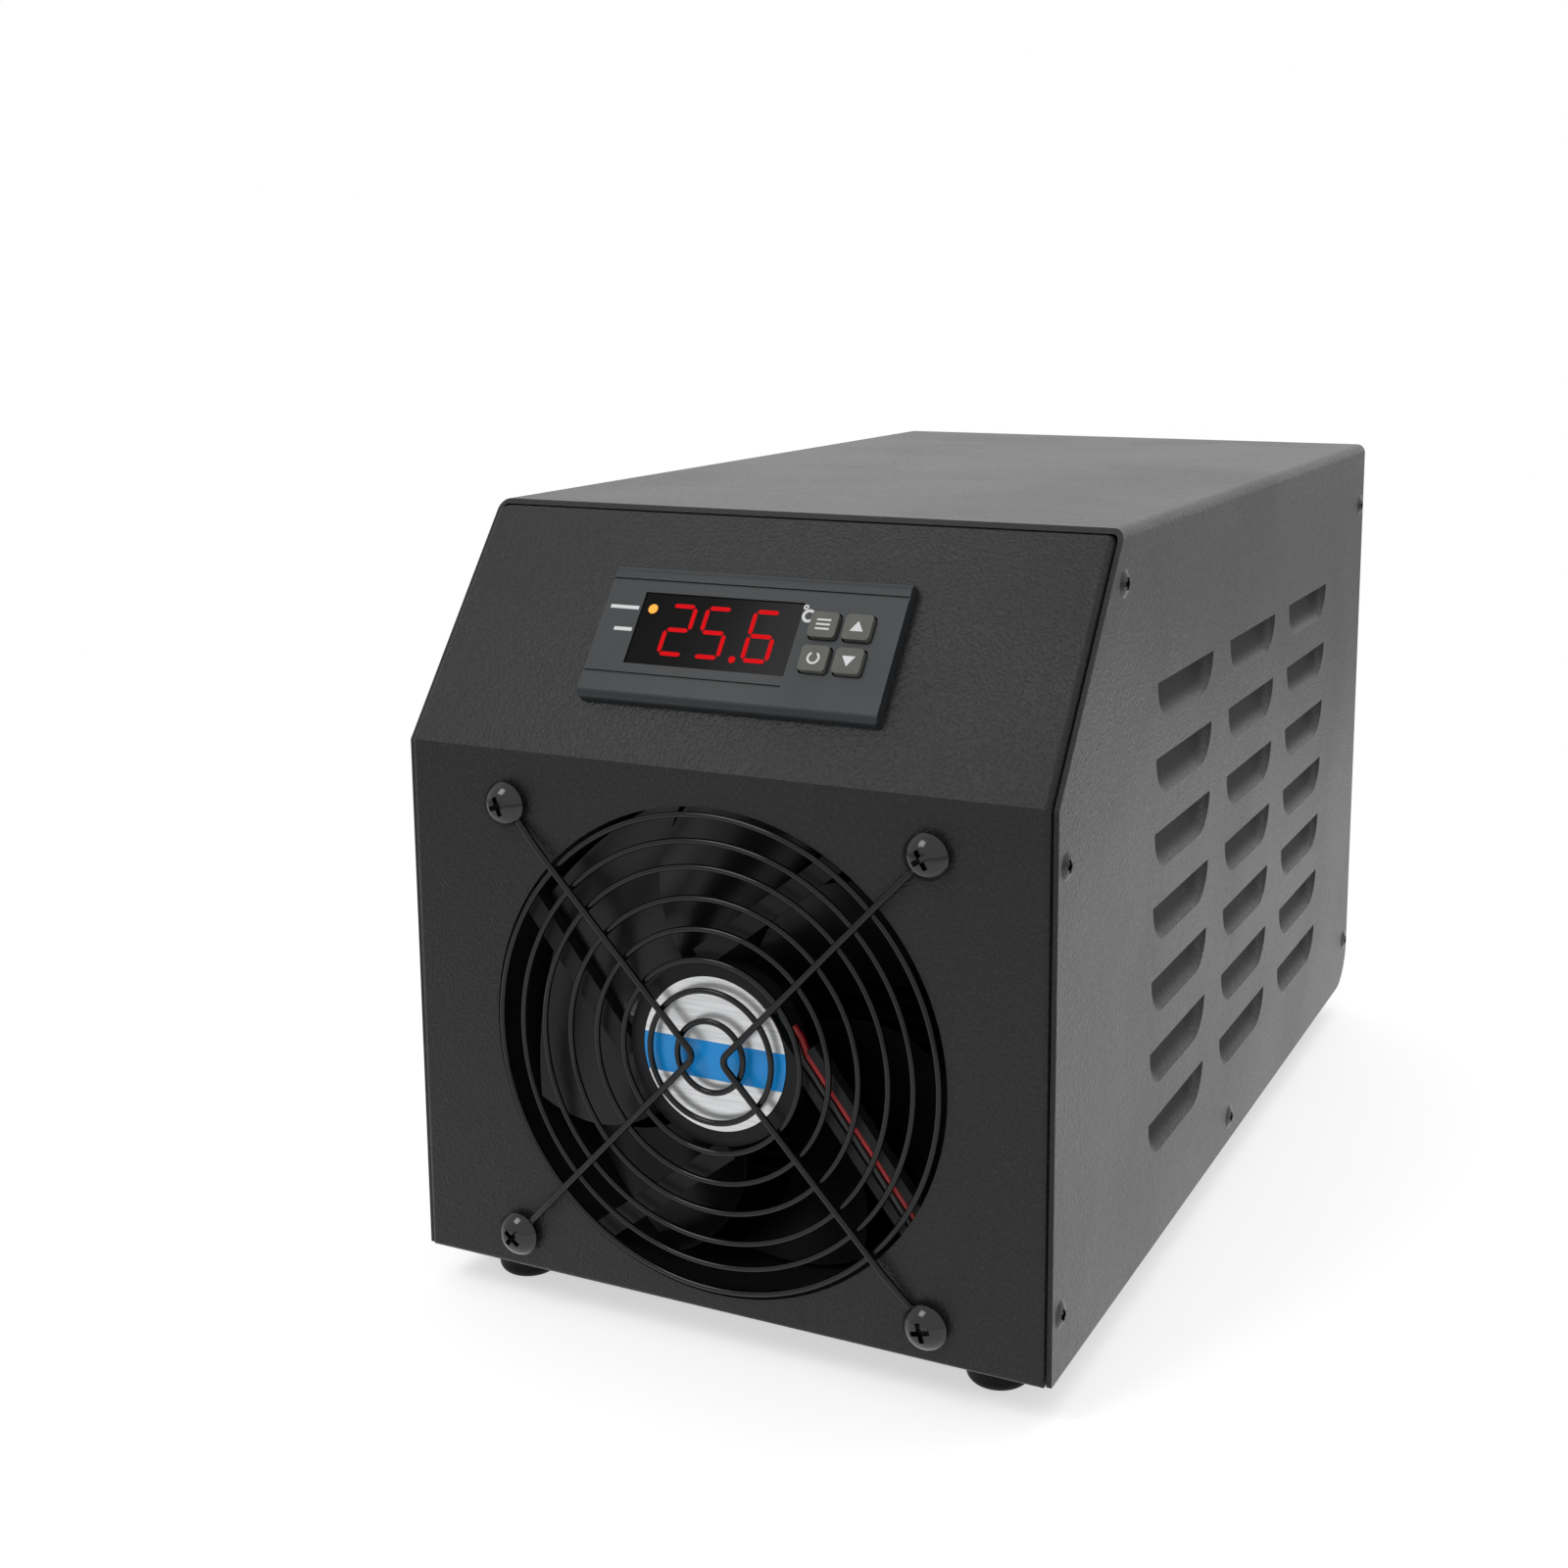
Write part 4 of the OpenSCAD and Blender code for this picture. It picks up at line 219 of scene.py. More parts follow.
def rubber_group():
    """Rubber and silicone: a dull skin with fine pits and bloom."""
    group, enter, leave = shader_group("rubber_skin", SKIN_INPUTS, SKIN_OUTPUTS)
    place, grain = enter.outputs["Vector"], enter.outputs["Grain"]
    pits = noise(group, place, grain, 2, 0.4)
    bloom = noise(group, place, reckon(group, "MULTIPLY", grain, 0.06), 4, 0.6)
    group.links.new(pits, leave.inputs["Height"])
    group.links.new(spread(group, bloom, 0.35, 0.75), leave.inputs["Tone"])
    group.links.new(bloom, leave.inputs["Gloss"])
    return group


def handling_group():
    """Slow, soft patches where hands and cloths have passed: a mask that shifts the gloss."""
    inputs = [("Vector", "NodeSocketVector", None), ("Patch", "NodeSocketFloat", 14.0)]
    group, enter, leave = shader_group("handling", inputs, ["Mask"])
    wide = noise(group, enter.outputs["Vector"], enter.outputs["Patch"], 4, 0.55, 0.4)
    group.links.new(spread(group, wide, 0.35, 0.68), leave.inputs["Mask"])
    return group


SKINS = {"powder": powder_coat_group(), "moulded": moulded_group(), "brushed": brushed_group(),
         "rubber": rubber_group()}
HANDLING = handling_group()


def finish(name, skin, color, rough, grain=1500.0, depth=0.02, tone=0.12, gloss=0.08,
           metallic=0.0, specular=0.5, coat=0.0, patch=14.0):
    """A finish from a shared skin. color is linear; depth is the relief in millimetres; tone and
    gloss say how far the colour and the roughness wander."""
    material = bpy.data.materials.new(name)
    material.use_nodes = True
    tree = material.node_tree
    shader = tree.nodes["Principled BSDF"]
    place = tree.nodes.new("ShaderNodeTexCoord").outputs["Object"]
    texture = tree.nodes.new("ShaderNodeGroup")
    texture.node_tree = SKINS[skin]
    texture.inputs["Grain"].default_value = grain
    tree.links.new(place, texture.inputs["Vector"])
    hands = tree.nodes.new("ShaderNodeGroup")
    hands.node_tree = HANDLING
    hands.inputs["Patch"].default_value = patch
    tree.links.new(place, hands.inputs["Vector"])
    mix = tree.nodes.new("ShaderNodeMix")
    mix.data_type = "RGBA"
    mix.inputs["A"].default_value = (*[c * (1 - tone) for c in color], 1)
    mix.inputs["B"].default_value = (*[c * (1 + tone) for c in color], 1)
    tree.links.new(texture.outputs["Tone"], mix.inputs["Factor"])
    tree.links.new(mix.outputs["Result"], shader.inputs["Base Color"])
    wander = reckon(tree, "MULTIPLY_ADD", texture.outputs["Gloss"], gloss, rough - gloss)
    wander = reckon(tree, "MULTIPLY_ADD", hands.outputs["Mask"], gloss, wander)
    tree.links.new(wander, shader.inputs["Roughness"])
    bump = tree.nodes.new("ShaderNodeBump")
    bump.inputs["Strength"].default_value = 1.0
    bump.inputs["Distance"].default_value = depth * MM
    tree.links.new(texture.outputs["Height"], bump.inputs["Height"])
    tree.links.new(bump.outputs["Normal"], shader.inputs["Normal"])
    shader.inputs["Metallic"].default_value = metallic
    shader.inputs["Specular IOR Level"].default_value = specular
    shader.inputs["Coat Weight"].default_value = coat
    shader.inputs["Coat Roughness"].default_value = 0.08
    return material


def lit(material, color, strength):
    """Makes a finish glow, a little uneven over its surface."""
    tree = material.node_tree
    shader = tree.nodes["Principled BSDF"]
    place = tree.nodes.new("ShaderNodeTexCoord").outputs["Object"]
    mix = tree.nodes.new("ShaderNodeMix")
    mix.data_type = "RGBA"
    mix.inputs["A"].default_value = (*[c * 0.85 for c in color], 1)
    mix.inputs["B"].default_value = (*color, 1)
    tree.links.new(noise(tree, place, 900, 2), mix.inputs["Factor"])
    tree.links.new(mix.outputs["Result"], shader.inputs["Emission Color"])
    shader.inputs["Emission Strength"].default_value = strength
    return material


SUNK_FROM, SUNK_FULL, SLOTS_TOP, SLOTS_FADE, HOLLOW_SHADE, HOLLOW_DULL = 0.3, 2.6, 150, 10, 0.8, 0.35


def shade_hollows(material):
    """Painted shade on the sheet's front-facing cut edges and inside the pressed louvres, growing with
    depth, plus a duller coating there.
    """
    tree = material.node_tree
    shader = tree.nodes["Principled BSDF"]
    place = tree.nodes.new("ShaderNodeSeparateXYZ")
    tree.links.new(tree.nodes.new("ShaderNodeTexCoord").outputs["Object"], place.inputs["Vector"])
    facing = tree.nodes.new("ShaderNodeSeparateXYZ")
    tree.links.new(tree.nodes.new("ShaderNodeNewGeometry").outputs["Normal"], facing.inputs["Vector"])
    edge = spread(tree, facing.outputs["Y"], -0.75, -0.35, 1.0, 0.0)
    side = reckon(tree, "ABSOLUTE", place.outputs["X"])
    sunk = spread(tree, side, (CASE_W / 2 - SUNK_FULL) * MM, (CASE_W / 2 - SUNK_FROM) * MM, 1.0, 0.0)
    low = spread(tree, place.outputs["Z"], SLOTS_TOP * MM, (SLOTS_TOP + SLOTS_FADE) * MM, 1.0, 0.0)
    mask = reckon(tree, "MAXIMUM", edge, reckon(tree, "MULTIPLY", sunk, low))
    # painted shade: the masked edges and louvre recesses are mixed towards near-black
    shade = tree.nodes.new("ShaderNodeMix")
    shade.data_type = "RGBA"
    coat = shader.inputs["Base Color"].links[0].from_socket
    tree.links.new(reckon(tree, "MULTIPLY", mask, HOLLOW_SHADE), shade.inputs["Factor"])
    tree.links.new(coat, shade.inputs["A"])
    shade.inputs["B"].default_value = (0.002, 0.002, 0.002, 1)
    tree.links.new(shade.outputs["Result"], shader.inputs["Base Color"])
    gloss = shader.inputs["Roughness"].links[0].from_socket
    tree.links.new(reckon(tree, "MULTIPLY_ADD", mask, HOLLOW_DULL, gloss), shader.inputs["Roughness"])
    return material


FINISHES = {
    "cover_sheet": shade_hollows(finish("cover_sheet", "powder", (0.05, 0.051, 0.0495), 0.37, 1100,
                                        0.16, 0.5, 0.05, specular=0.63)),
    "panel_sheet": finish("panel_sheet", "powder", (0.021, 0.0215, 0.0235), 0.42, 1300, 0.17, 0.25,
                          0.08, specular=0.31),
    "black_screw": finish("black_screw", "brushed", (0.008, 0.008, 0.008), 0.2, 2500, 0.006,
                          specular=0.5),
    "dark_screw": finish("dark_screw", "moulded", (0.007, 0.005, 0.004), 0.1, 1800, 0.02, 0.3,
                         0.05, specular=0.6),
    "zinc": finish("zinc", "brushed", (0.6, 0.6, 0.62), 0.34, 1800, 0.006, metallic=1.0),
    "foot_rubber": finish("foot_rubber", "rubber", (0.01, 0.01, 0.01), 0.62, 1600, 0.03,
                          specular=0.1),
    "fan_plastic": finish("fan_plastic", "moulded", (0.014, 0.0145, 0.016), 0.42, 2200, 0.012,
                          specular=0.16),
    "impeller_plastic": finish("impeller_plastic", "moulded", (0.005, 0.0055, 0.0065), 0.18, 1400,
                               0.01, specular=0.35),
    "steel": finish("steel", "brushed", (0.6, 0.6, 0.62), 0.25, 2500, 0.004, metallic=1.0),
    "magnet": finish("magnet", "moulded", (0.06, 0.055, 0.055), 0.5, 2500, 0.01),
    "bronze": finish("bronze", "rubber", (0.5, 0.36, 0.14), 0.4, 3000, 0.01, metallic=1.0),
    "lamination": finish("lamination", "brushed", (0.35, 0.36, 0.38), 0.4, 2000, 0.01,
                         metallic=1.0),
    "copper": finish("copper", "brushed", (0.55, 0.22, 0.08), 0.3, 2200, 0.03, metallic=1.0),
    "board": finish("board", "moulded", (0.02, 0.12, 0.05), 0.3, 1500, 0.01, 0.25),
    "red_lead": finish("red_lead", "moulded", (0.36, 0.006, 0.01), 0.35, 1500, 0.01),
    "black_lead": finish("black_lead", "moulded", (0.01, 0.01, 0.01), 0.35, 1500, 0.01),
    "brown_lead": finish("brown_lead", "moulded", (0.18, 0.08, 0.03), 0.35, 1500, 0.01),
    "guard_wire": finish("guard_wire", "moulded", (0.003, 0.003, 0.003), 0.1, 1600, 0.01, 0.3,
                         0.05, specular=0.36),
    "bezel": finish("bezel", "moulded", (0.031, 0.035, 0.038), 0.4, 2600, 0.012, 0.06,
                    specular=0.34),
    "window": finish("window", "moulded", (0.004, 0.0035, 0.0035), 0.14, 300, 0.002, 0.2, 0.03,
                     specular=0.08),
    "case_plastic": finish("case_plastic", "moulded", (0.015, 0.015, 0.016), 0.45, 2200, 0.012),
    "display": finish("display", "moulded", (0.01, 0.01, 0.01), 0.3, 2200, 0.006),
    "clip": finish("clip", "moulded", (0.5, 0.16, 0.02), 0.4, 2200, 0.01),
    "button": finish("button", "rubber", (0.14, 0.146, 0.128), 0.55, 2200, 0.02, 0.1,
                     specular=0.35),
    "terminal": finish("terminal", "moulded", (0.02, 0.1, 0.04), 0.4, 2200, 0.01),
    "aluminium": finish("aluminium", "brushed", (0.68, 0.69, 0.7), 0.36, 1600, 0.01,
                        metallic=1.0),
    "black_anodised": finish("black_anodised", "brushed", (0.006, 0.006, 0.007), 0.5, 1600, 0.01,
                             specular=0.1),
    "ceramic": finish("ceramic", "rubber", (0.75, 0.75, 0.72), 0.5, 2500, 0.01),
    "foam": finish("foam", "rubber", (0.02, 0.02, 0.02), 0.8, 700, 0.15, 0.3),
    "nylon": finish("nylon", "moulded", (0.62, 0.61, 0.57), 0.4, 1800, 0.01),
    "hose": finish("hose", "moulded", (0.55, 0.58, 0.6), 0.3, 1200, 0.01),
    "spigot": finish("spigot", "moulded", (0.014, 0.014, 0.015), 0.4, 1800, 0.015),
    "seal": finish("seal", "rubber", (0.01, 0.01, 0.01), 0.6, 1800, 0.02),
    "contact": finish("contact", "brushed", (0.6, 0.48, 0.22), 0.3, 2500, 0.004, metallic=1.0),
    "supply_sheet": finish("supply_sheet", "brushed", (0.58, 0.59, 0.6), 0.42, 900, 0.008,
                           metallic=1.0),
    "components": finish("components", "moulded", (0.12, 0.1, 0.07), 0.45, 1500, 0.01, 0.3),
    "segment": lit(finish("segment", "moulded", (0.06, 0.001, 0.001), 0.5, 1500, 0.004, specular=0.0),
                   (0.7, 0.008, 0.012), 1.0),
    "lamp": lit(finish("lamp", "moulded", (0.4, 0.15, 0.01), 0.4, 1500, 0.004),
                (0.95, 0.38, 0.01), 1.0),
    "print": finish("print", "rubber", (0.92, 0.93, 0.94), 0.55, 2500, 0.004, 0.04),
}


BAND_TOP, BAND_LOW, BAND_EDGE = 2.8, -6.1, 0.15


def label_finish():
    """Silver film with a fine brushed grain, and one plain blue band across it."""
    material = finish("silver_label", "brushed", (0.84, 0.85, 0.86), 0.3, 1500, 0.004,
                      metallic=0.55)
    tree = material.node_tree
    shader = tree.nodes["Principled BSDF"]
    place = tree.nodes.new("ShaderNodeTexCoord").outputs["Object"]
    centre = fan_point(0, 0, 0)
    shift = tree.nodes.new("ShaderNodeMapping")
    shift.inputs["Location"].default_value = (-centre[0], -centre[1], -centre[2])
    tree.links.new(place, shift.inputs["Vector"])
    split = tree.nodes.new("ShaderNodeSeparateXYZ")
    tree.links.new(shift.outputs["Vector"], split.inputs["Vector"])
    up = split.outputs["Z"]
    under = spread(tree, up, BAND_TOP * MM, (BAND_TOP + BAND_EDGE) * MM, 1.0, 0.0)
    over = spread(tree, up, BAND_LOW * MM, (BAND_LOW + BAND_EDGE) * MM, 0.0, 1.0)
    band = reckon(tree, "MULTIPLY", under, over)
    paint = tree.nodes.new("ShaderNodeMix")
    paint.data_type = "RGBA"
    silver = shader.inputs["Base Color"].links[0].from_socket
    tree.links.new(band, paint.inputs["Factor"])
    tree.links.new(silver, paint.inputs["A"])
    paint.inputs["B"].default_value = (0.006, 0.38, 1.0, 1)
    tree.links.new(paint.outputs["Result"], shader.inputs["Base Color"])
    tree.links.new(reckon(tree, "MULTIPLY_ADD", band, -0.55, 0.55), shader.inputs["Metallic"])
    return material


FINISHES["silver_label"] = label_finish()
slot_of_node = {row["node"]: row["material_slot"] for row in frame["record"]["subparts"]}


# Mesh helpers
def mesh_piece(name, points, faces, slot, body="chiller", smooth_angle=35):
    """A closed mesh from points in metres, its faces turned outwards."""
    mesh = bpy.data.meshes.new(name)
    mesh.from_pydata([tuple(p) for p in points], [], faces)
    work = bmesh.new()
    work.from_mesh(mesh)
    bmesh.ops.remove_doubles(work, verts=work.verts, dist=1e-7)
    bmesh.ops.recalc_face_normals(work, faces=work.faces)
    work.to_mesh(mesh)
    work.free()
    return dress(name, mesh, slot, body, smooth_angle)


def dress(name, mesh, slot, body, smooth_angle=35):
    """Gives a mesh its shading, its finish and its body."""
    mesh.shade_smooth()
    mesh.set_sharp_from_angle(angle=math.radians(smooth_angle))
    mesh.materials.clear()
    mesh.materials.append(FINISHES[slot])
    piece = bpy.data.objects.new(name, mesh)
    scene.collection.objects.link(piece)
    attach(piece, body)
    return piece


def prism(outline, place, low, high):
    """Points and faces of a flat outline raised from one height to another."""
    count = len(outline)
    points = [place(u, v, low) for u, v in outline] + [place(u, v, high) for u, v in outline]
    faces = [list(range(count)), list(range(count, 2 * count))]
    faces += [[i, (i + 1) % count, count + (i + 1) % count, count + i] for i in range(count)]
    return points, faces


def gather(solids):
    """Joins lists of points and faces."""
    points, faces = [], []
    for more_points, more_faces in solids:
        start = len(points)
        points += more_points
        faces += [[start + i for i in face] for face in more_faces]
    return points, faces


def tube(route, radius, sides=16, closed=False):
    """Points and faces of a round tube along a route in metres, its rings square to the route."""
    count = len(route)
    rings = []
    side = None
    for i, here in enumerate(route):
        before = route[i - 1] if i or closed else here
        after = route[(i + 1) % count] if i < count - 1 or closed else here
        ahead = (after - before).normalized()
        if side is None:
            side = ahead.orthogonal().normalized()
        side = (side - ahead * side.dot(ahead)).normalized()
        other = ahead.cross(side)
        rings.append([here + (side * math.cos(a) + other * math.sin(a)) * radius
                      for a in (2 * math.pi * k / sides for k in range(sides))])
    points = [p for ring in rings for p in ring]
    faces = []
    for i in range(count if closed else count - 1):
        for k in range(sides):
            a, b = i * sides + k, i * sides + (k + 1) % sides
            c, d = (a + sides) % len(points), (b + sides) % len(points)
            faces.append([a, b, d, c])
    if not closed:
        faces += [list(range(sides)), list(range(len(points) - sides, len(points)))]
    return points, faces


def rounded_route(corners, radius, steps=8):
    """Corners of a route in metres, each replaced by an arc."""
    route = [corners[0]]
    for before, corner, after in zip(corners, corners[1:], corners[2:]):
        back, on = (before - corner).normalized(), (after - corner).normalized()
        half = back.angle(on) / 2
        cut_back = min(radius / math.tan(half), (before - corner).length * 0.49,
                       (after - corner).length * 0.49)
        r = cut_back * math.tan(half)
        centre = corner + (back + on).normalized() * (r / math.sin(half))
        out = (corner + back * cut_back - centre) / r
        ahead = -back
        sweep = math.pi - 2 * half
        route += [centre + (out * math.cos(a) + ahead * math.sin(a)) * r
                  for a in (sweep * i / steps for i in range(steps + 1))]
    return route + [corners[-1]]


def lathe(profile, centre, steps=96):
    """A closed profile of (radius, depth) in millimetres turned about the fan's axis."""
    points, faces, n = [], [], len(profile)
    for i in range(steps):
        a = 2 * math.pi * i / steps
        points += [centre(r * math.cos(a), y, r * math.sin(a)) for r, y in profile]
    for i in range(steps):
        for j in range(n):
            a, b = i * n + j, i * n + (j + 1) % n
            c, d = ((i + 1) % steps) * n + j, ((i + 1) % steps) * n + (j + 1) % n
            faces.append([a, b, d, c])
    return points, faces


def smooth_copy(node, smooth_angle=30):
    """A merged, smoothly shaded copy of a CAD node that stands for it."""
    mesh = nodes_of_part[node].data.copy()
    work = bmesh.new()
    work.from_mesh(mesh)
    bmesh.ops.remove_doubles(work, verts=work.verts, dist=1e-6)
    work.to_mesh(mesh)
    work.free()
    own_normals = mesh.attributes.get("custom_normal")
    if own_normals:
        mesh.attributes.remove(own_normals)
    body = nodes_of_part[node]["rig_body"]
    piece = dress(node + "_fine", mesh, slot_of_node[node], body, smooth_angle)
    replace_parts(piece, node)
    return piece


# Geometry Nodes helpers
def geometry_tree(name, sizes):
    tree = bpy.data.node_groups.new(name, "GeometryNodeTree")
    tree.interface.new_socket("Geometry", in_out="INPUT", socket_type="NodeSocketGeometry")
    for label, kind in sizes:
        tree.interface.new_socket(label, in_out="INPUT", socket_type=kind)
    tree.interface.new_socket("Geometry", in_out="OUTPUT", socket_type="NodeSocketGeometry")
    return tree, tree.nodes.new("NodeGroupInput"), tree.nodes.new("NodeGroupOutput")


def grown_mesh(name, tree, values, start=None):
    """Runs a tree on a mesh with its named inputs set, and gives the plain mesh."""
    holder = bpy.data.objects.new(name + "_holder", start or bpy.data.meshes.new(name + "_start"))
    scene.collection.objects.link(holder)
    modifier = holder.modifiers.new("nodes", "NODES")
    modifier.node_group = tree
    for item in tree.interface.items_tree:
        if item.item_type == "SOCKET" and item.in_out == "INPUT" and item.name in values:
            modifier[item.identifier] = values[item.name]
    bpy.context.view_layer.update()
    mesh = bpy.data.meshes.new_from_object(
        holder.evaluated_get(bpy.context.evaluated_depsgraph_get()))
    holder.modifiers.remove(modifier)
    bpy.data.objects.remove(holder)
    mesh.name = name
    return mesh


def realize_and_set(tree, geometry, material):
    realize = tree.nodes.new("GeometryNodeRealizeInstances")
    tree.links.new(geometry, realize.inputs["Geometry"])
    paint = tree.nodes.new("GeometryNodeSetMaterial")
    paint.inputs["Material"].default_value = material
    tree.links.new(realize.outputs["Geometry"], paint.inputs["Geometry"])
    return paint.outputs["Geometry"]


# Fan guard: the rings grow from a tree, the legs are bent wires with an eye at each end
RING_COUNT, RING_FIRST, RING_PITCH, RING_TIGHTEN, RING_WIRE = 8, 8.3, 7.05, 1.15, 0.7
LEG_WIRE, LEG_TIP_X, LEG_KNEE_R, WELD = 0.8, 3.2, 60.5, 0.3
EYE_SWELL, SCREW_R, SCREW_GAP, TIP_BEND_R = 0.04, 2.05, 0.2, 2.5
EYE_WIRE = LEG_WIRE + EYE_SWELL
EYE_R = SCREW_R + SCREW_GAP + EYE_WIRE
RING_Y = -PANEL_OUT - RING_WIRE
LEG_Y = RING_Y - RING_WIRE - LEG_WIRE + WELD
EYE_Y = -PANEL_OUT - EYE_WIRE


def ring_tree():
    sizes = [("Rings", "NodeSocketInt"), ("First radius", "NodeSocketFloat"),
             ("Pitch", "NodeSocketFloat"), ("Tighten", "NodeSocketFloat"),
             ("Wire radius", "NodeSocketFloat"), ("Centre", "NodeSocketVector")]
    tree, enter, leave = geometry_tree("guard_rings", sizes)
    make, join = tree.nodes.new, tree.links.new
    places = make("GeometryNodePoints")
    join(enter.outputs["Rings"], places.inputs["Count"])
    index = make("GeometryNodeInputIndex").outputs[0]
    even_r = reckon(tree, "MULTIPLY_ADD", index, enter.outputs["Pitch"], enter.outputs["First radius"])
    outer = reckon(tree, "SUBTRACT", index, reckon(tree, "SUBTRACT", enter.outputs["Rings"], 3.0))
    drawn_in = reckon(tree, "MULTIPLY", reckon(tree, "MAXIMUM", outer, 0.0), enter.outputs["Tighten"])
    radius = reckon(tree, "SUBTRACT", even_r, drawn_in)
    circle = make("GeometryNodeCurvePrimitiveCircle")
    circle.inputs["Resolution"].default_value = 144
    circle.inputs["Radius"].default_value = 1.0
    size = make("ShaderNodeCombineXYZ")
    for axis in "XYZ":
        join(radius, size.inputs[axis])
    spots = make("GeometryNodeInstanceOnPoints")
    join(places.outputs[0], spots.inputs["Points"])
    join(circle.outputs["Curve"], spots.inputs["Instance"])
    join(size.outputs[0], spots.inputs["Scale"])
    real = make("GeometryNodeRealizeInstances")
    join(spots.outputs["Instances"], real.inputs["Geometry"])
    even = make("GeometryNodeSetCurveRadius")
    even.inputs["Radius"].default_value = 1.0
    join(real.outputs["Geometry"], even.inputs["Curve"])
    section = make("GeometryNodeCurvePrimitiveCircle")
    section.inputs["Resolution"].default_value = 14
    join(enter.outputs["Wire radius"], section.inputs["Radius"])
    sweep = make("GeometryNodeCurveToMesh")
    join(even.outputs["Curve"], sweep.inputs["Curve"])
    join(section.outputs["Curve"], sweep.inputs["Profile Curve"])
    stand = make("GeometryNodeTransform")
    stand.inputs["Rotation"].default_value = (math.pi / 2, 0, 0)
    join(enter.outputs["Centre"], stand.inputs["Translation"])
    join(sweep.outputs["Mesh"], stand.inputs["Geometry"])
    join(realize_and_set(tree, stand.outputs["Geometry"], FINISHES["guard_wire"]),
         leave.inputs["Geometry"])
    return tree


def guard_wires():
    """Two wires bent to a point at the middle, with a knee past the rings and an eye at each end."""
    solids = []
    for sx in (-1, 1):
        route = []
        for sz in (-1, 1):
            corner = Vector((sx * FAN_PITCH / 2, 0, sz * FAN_PITCH / 2))
            tip = Vector((sx * LEG_TIP_X, 0, 0))
            flat = (corner - tip).normalized()
            knee = tip + flat * (LEG_KNEE_R - LEG_TIP_X * abs(flat[0]))
            end = corner - flat * EYE_R
            half = [fan_point(end[0], EYE_Y, end[2]), fan_point(knee[0], LEG_Y, knee[2])]
            route += half if sz < 0 else half[::-1]
            if sz < 0:
                route.append(fan_point(tip[0], LEG_Y, tip[2]))
            ring = [fan_point(corner[0] + EYE_R * math.cos(a), EYE_Y,
                              corner[2] + EYE_R * math.sin(a))
                    for a in (2 * math.pi * i / 40 for i in range(40))]
            solids.append(tube(ring, EYE_WIRE * MM, 14, closed=True))
        solids.append(tube(rounded_route(route, TIP_BEND_R * MM, 8), LEG_WIRE * MM, 16))
    return solids


ring_mesh = grown_mesh("guard_rings", ring_tree(), {
    "Rings": RING_COUNT, "First radius": RING_FIRST * MM, "Pitch": RING_PITCH * MM,
    "Tighten": RING_TIGHTEN * MM, "Wire radius": RING_WIRE * MM, "Centre": fan_point(0, RING_Y, 0)})
guard_rings = dress("guard_rings", ring_mesh, "guard_wire", "chiller", 60)
guard_legs = mesh_piece("guard_legs", *gather(guard_wires()), "guard_wire", smooth_angle=60)
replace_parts(guard_rings, "fan_guard")
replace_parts(guard_legs, "fan_guard")

# Impeller: one lofted blade, set round the hub by a tree
HUB_R, TIP_R, HUB_WALL, BLADE_T, BLADES = 20.5, 56, 1.9, 1.9, 7
BLADE_TURN, BLADE_SWEEP, BLADE_CAMBER, BLADE_EDGE, ROOT_SINK = 42, 24, 0.13, 0.35, 0.6
HUB_Y0, HUB_Y1 = 5.8, 23.4
BLADE_H = HUB_Y1 - HUB_Y0 - 2 * BLADE_T


def blade_point(u, t, side):
    bow = math.sin(math.pi * t)
    r = HUB_R - ROOT_SINK + u * (TIP_R - HUB_R + ROOT_SINK)
    a = math.radians(BLADE_TURN * (t - 0.5) + BLADE_SWEEP * u * u)
    half = BLADE_T / 2 * (BLADE_EDGE + (1 - BLADE_EDGE) * bow)
    depth = HUB_Y0 + BLADE_T + BLADE_H * (t + BLADE_CAMBER * bow) + side * half
    return Vector((r * math.cos(a), depth, -r * math.sin(a))) * MM


def blade_solid(stations=20, steps=16):
    ring = [(j / steps, -1) for j in range(steps + 1)] + [(j / steps, 1) for j in range(steps, -1, -1)]
    n = len(ring)
    points = [blade_point(i / stations, t, side) for i in range(stations + 1) for t, side in ring]
    faces = [[i * n + j, i * n + (j + 1) % n, (i + 1) * n + (j + 1) % n, (i + 1) * n + j]
             for i in range(stations) for j in range(n)]
    for start in (0, stations * n):
        faces += [[start + j, start + j + 1, start + n - 2 - j, start + n - 1 - j]
                  for j in range(steps)]
    return points, faces


def blade_tree():
    sizes = [("Blades", "NodeSocketInt"), ("Centre", "NodeSocketVector")]
    tree, enter, leave = geometry_tree("impeller_blades", sizes)
    make, join = tree.nodes.new, tree.links.new
    places = make("GeometryNodePoints")
    join(enter.outputs["Blades"], places.inputs["Count"])
    join(enter.outputs["Centre"], places.inputs["Position"])
    turn = reckon(tree, "DIVIDE", reckon(tree, "MULTIPLY", make("GeometryNodeInputIndex").outputs[0],
                                         2 * math.pi), enter.outputs["Blades"])
    angle = make("ShaderNodeCombineXYZ")
    join(turn, angle.inputs["Y"])
    spots = make("GeometryNodeInstanceOnPoints")
    join(places.outputs[0], spots.inputs["Points"])
    join(enter.outputs["Geometry"], spots.inputs["Instance"])
    join(angle.outputs[0], spots.inputs["Rotation"])
    join(realize_and_set(tree, spots.outputs["Instances"], FINISHES["impeller_plastic"]),
         leave.inputs["Geometry"])
    return tree


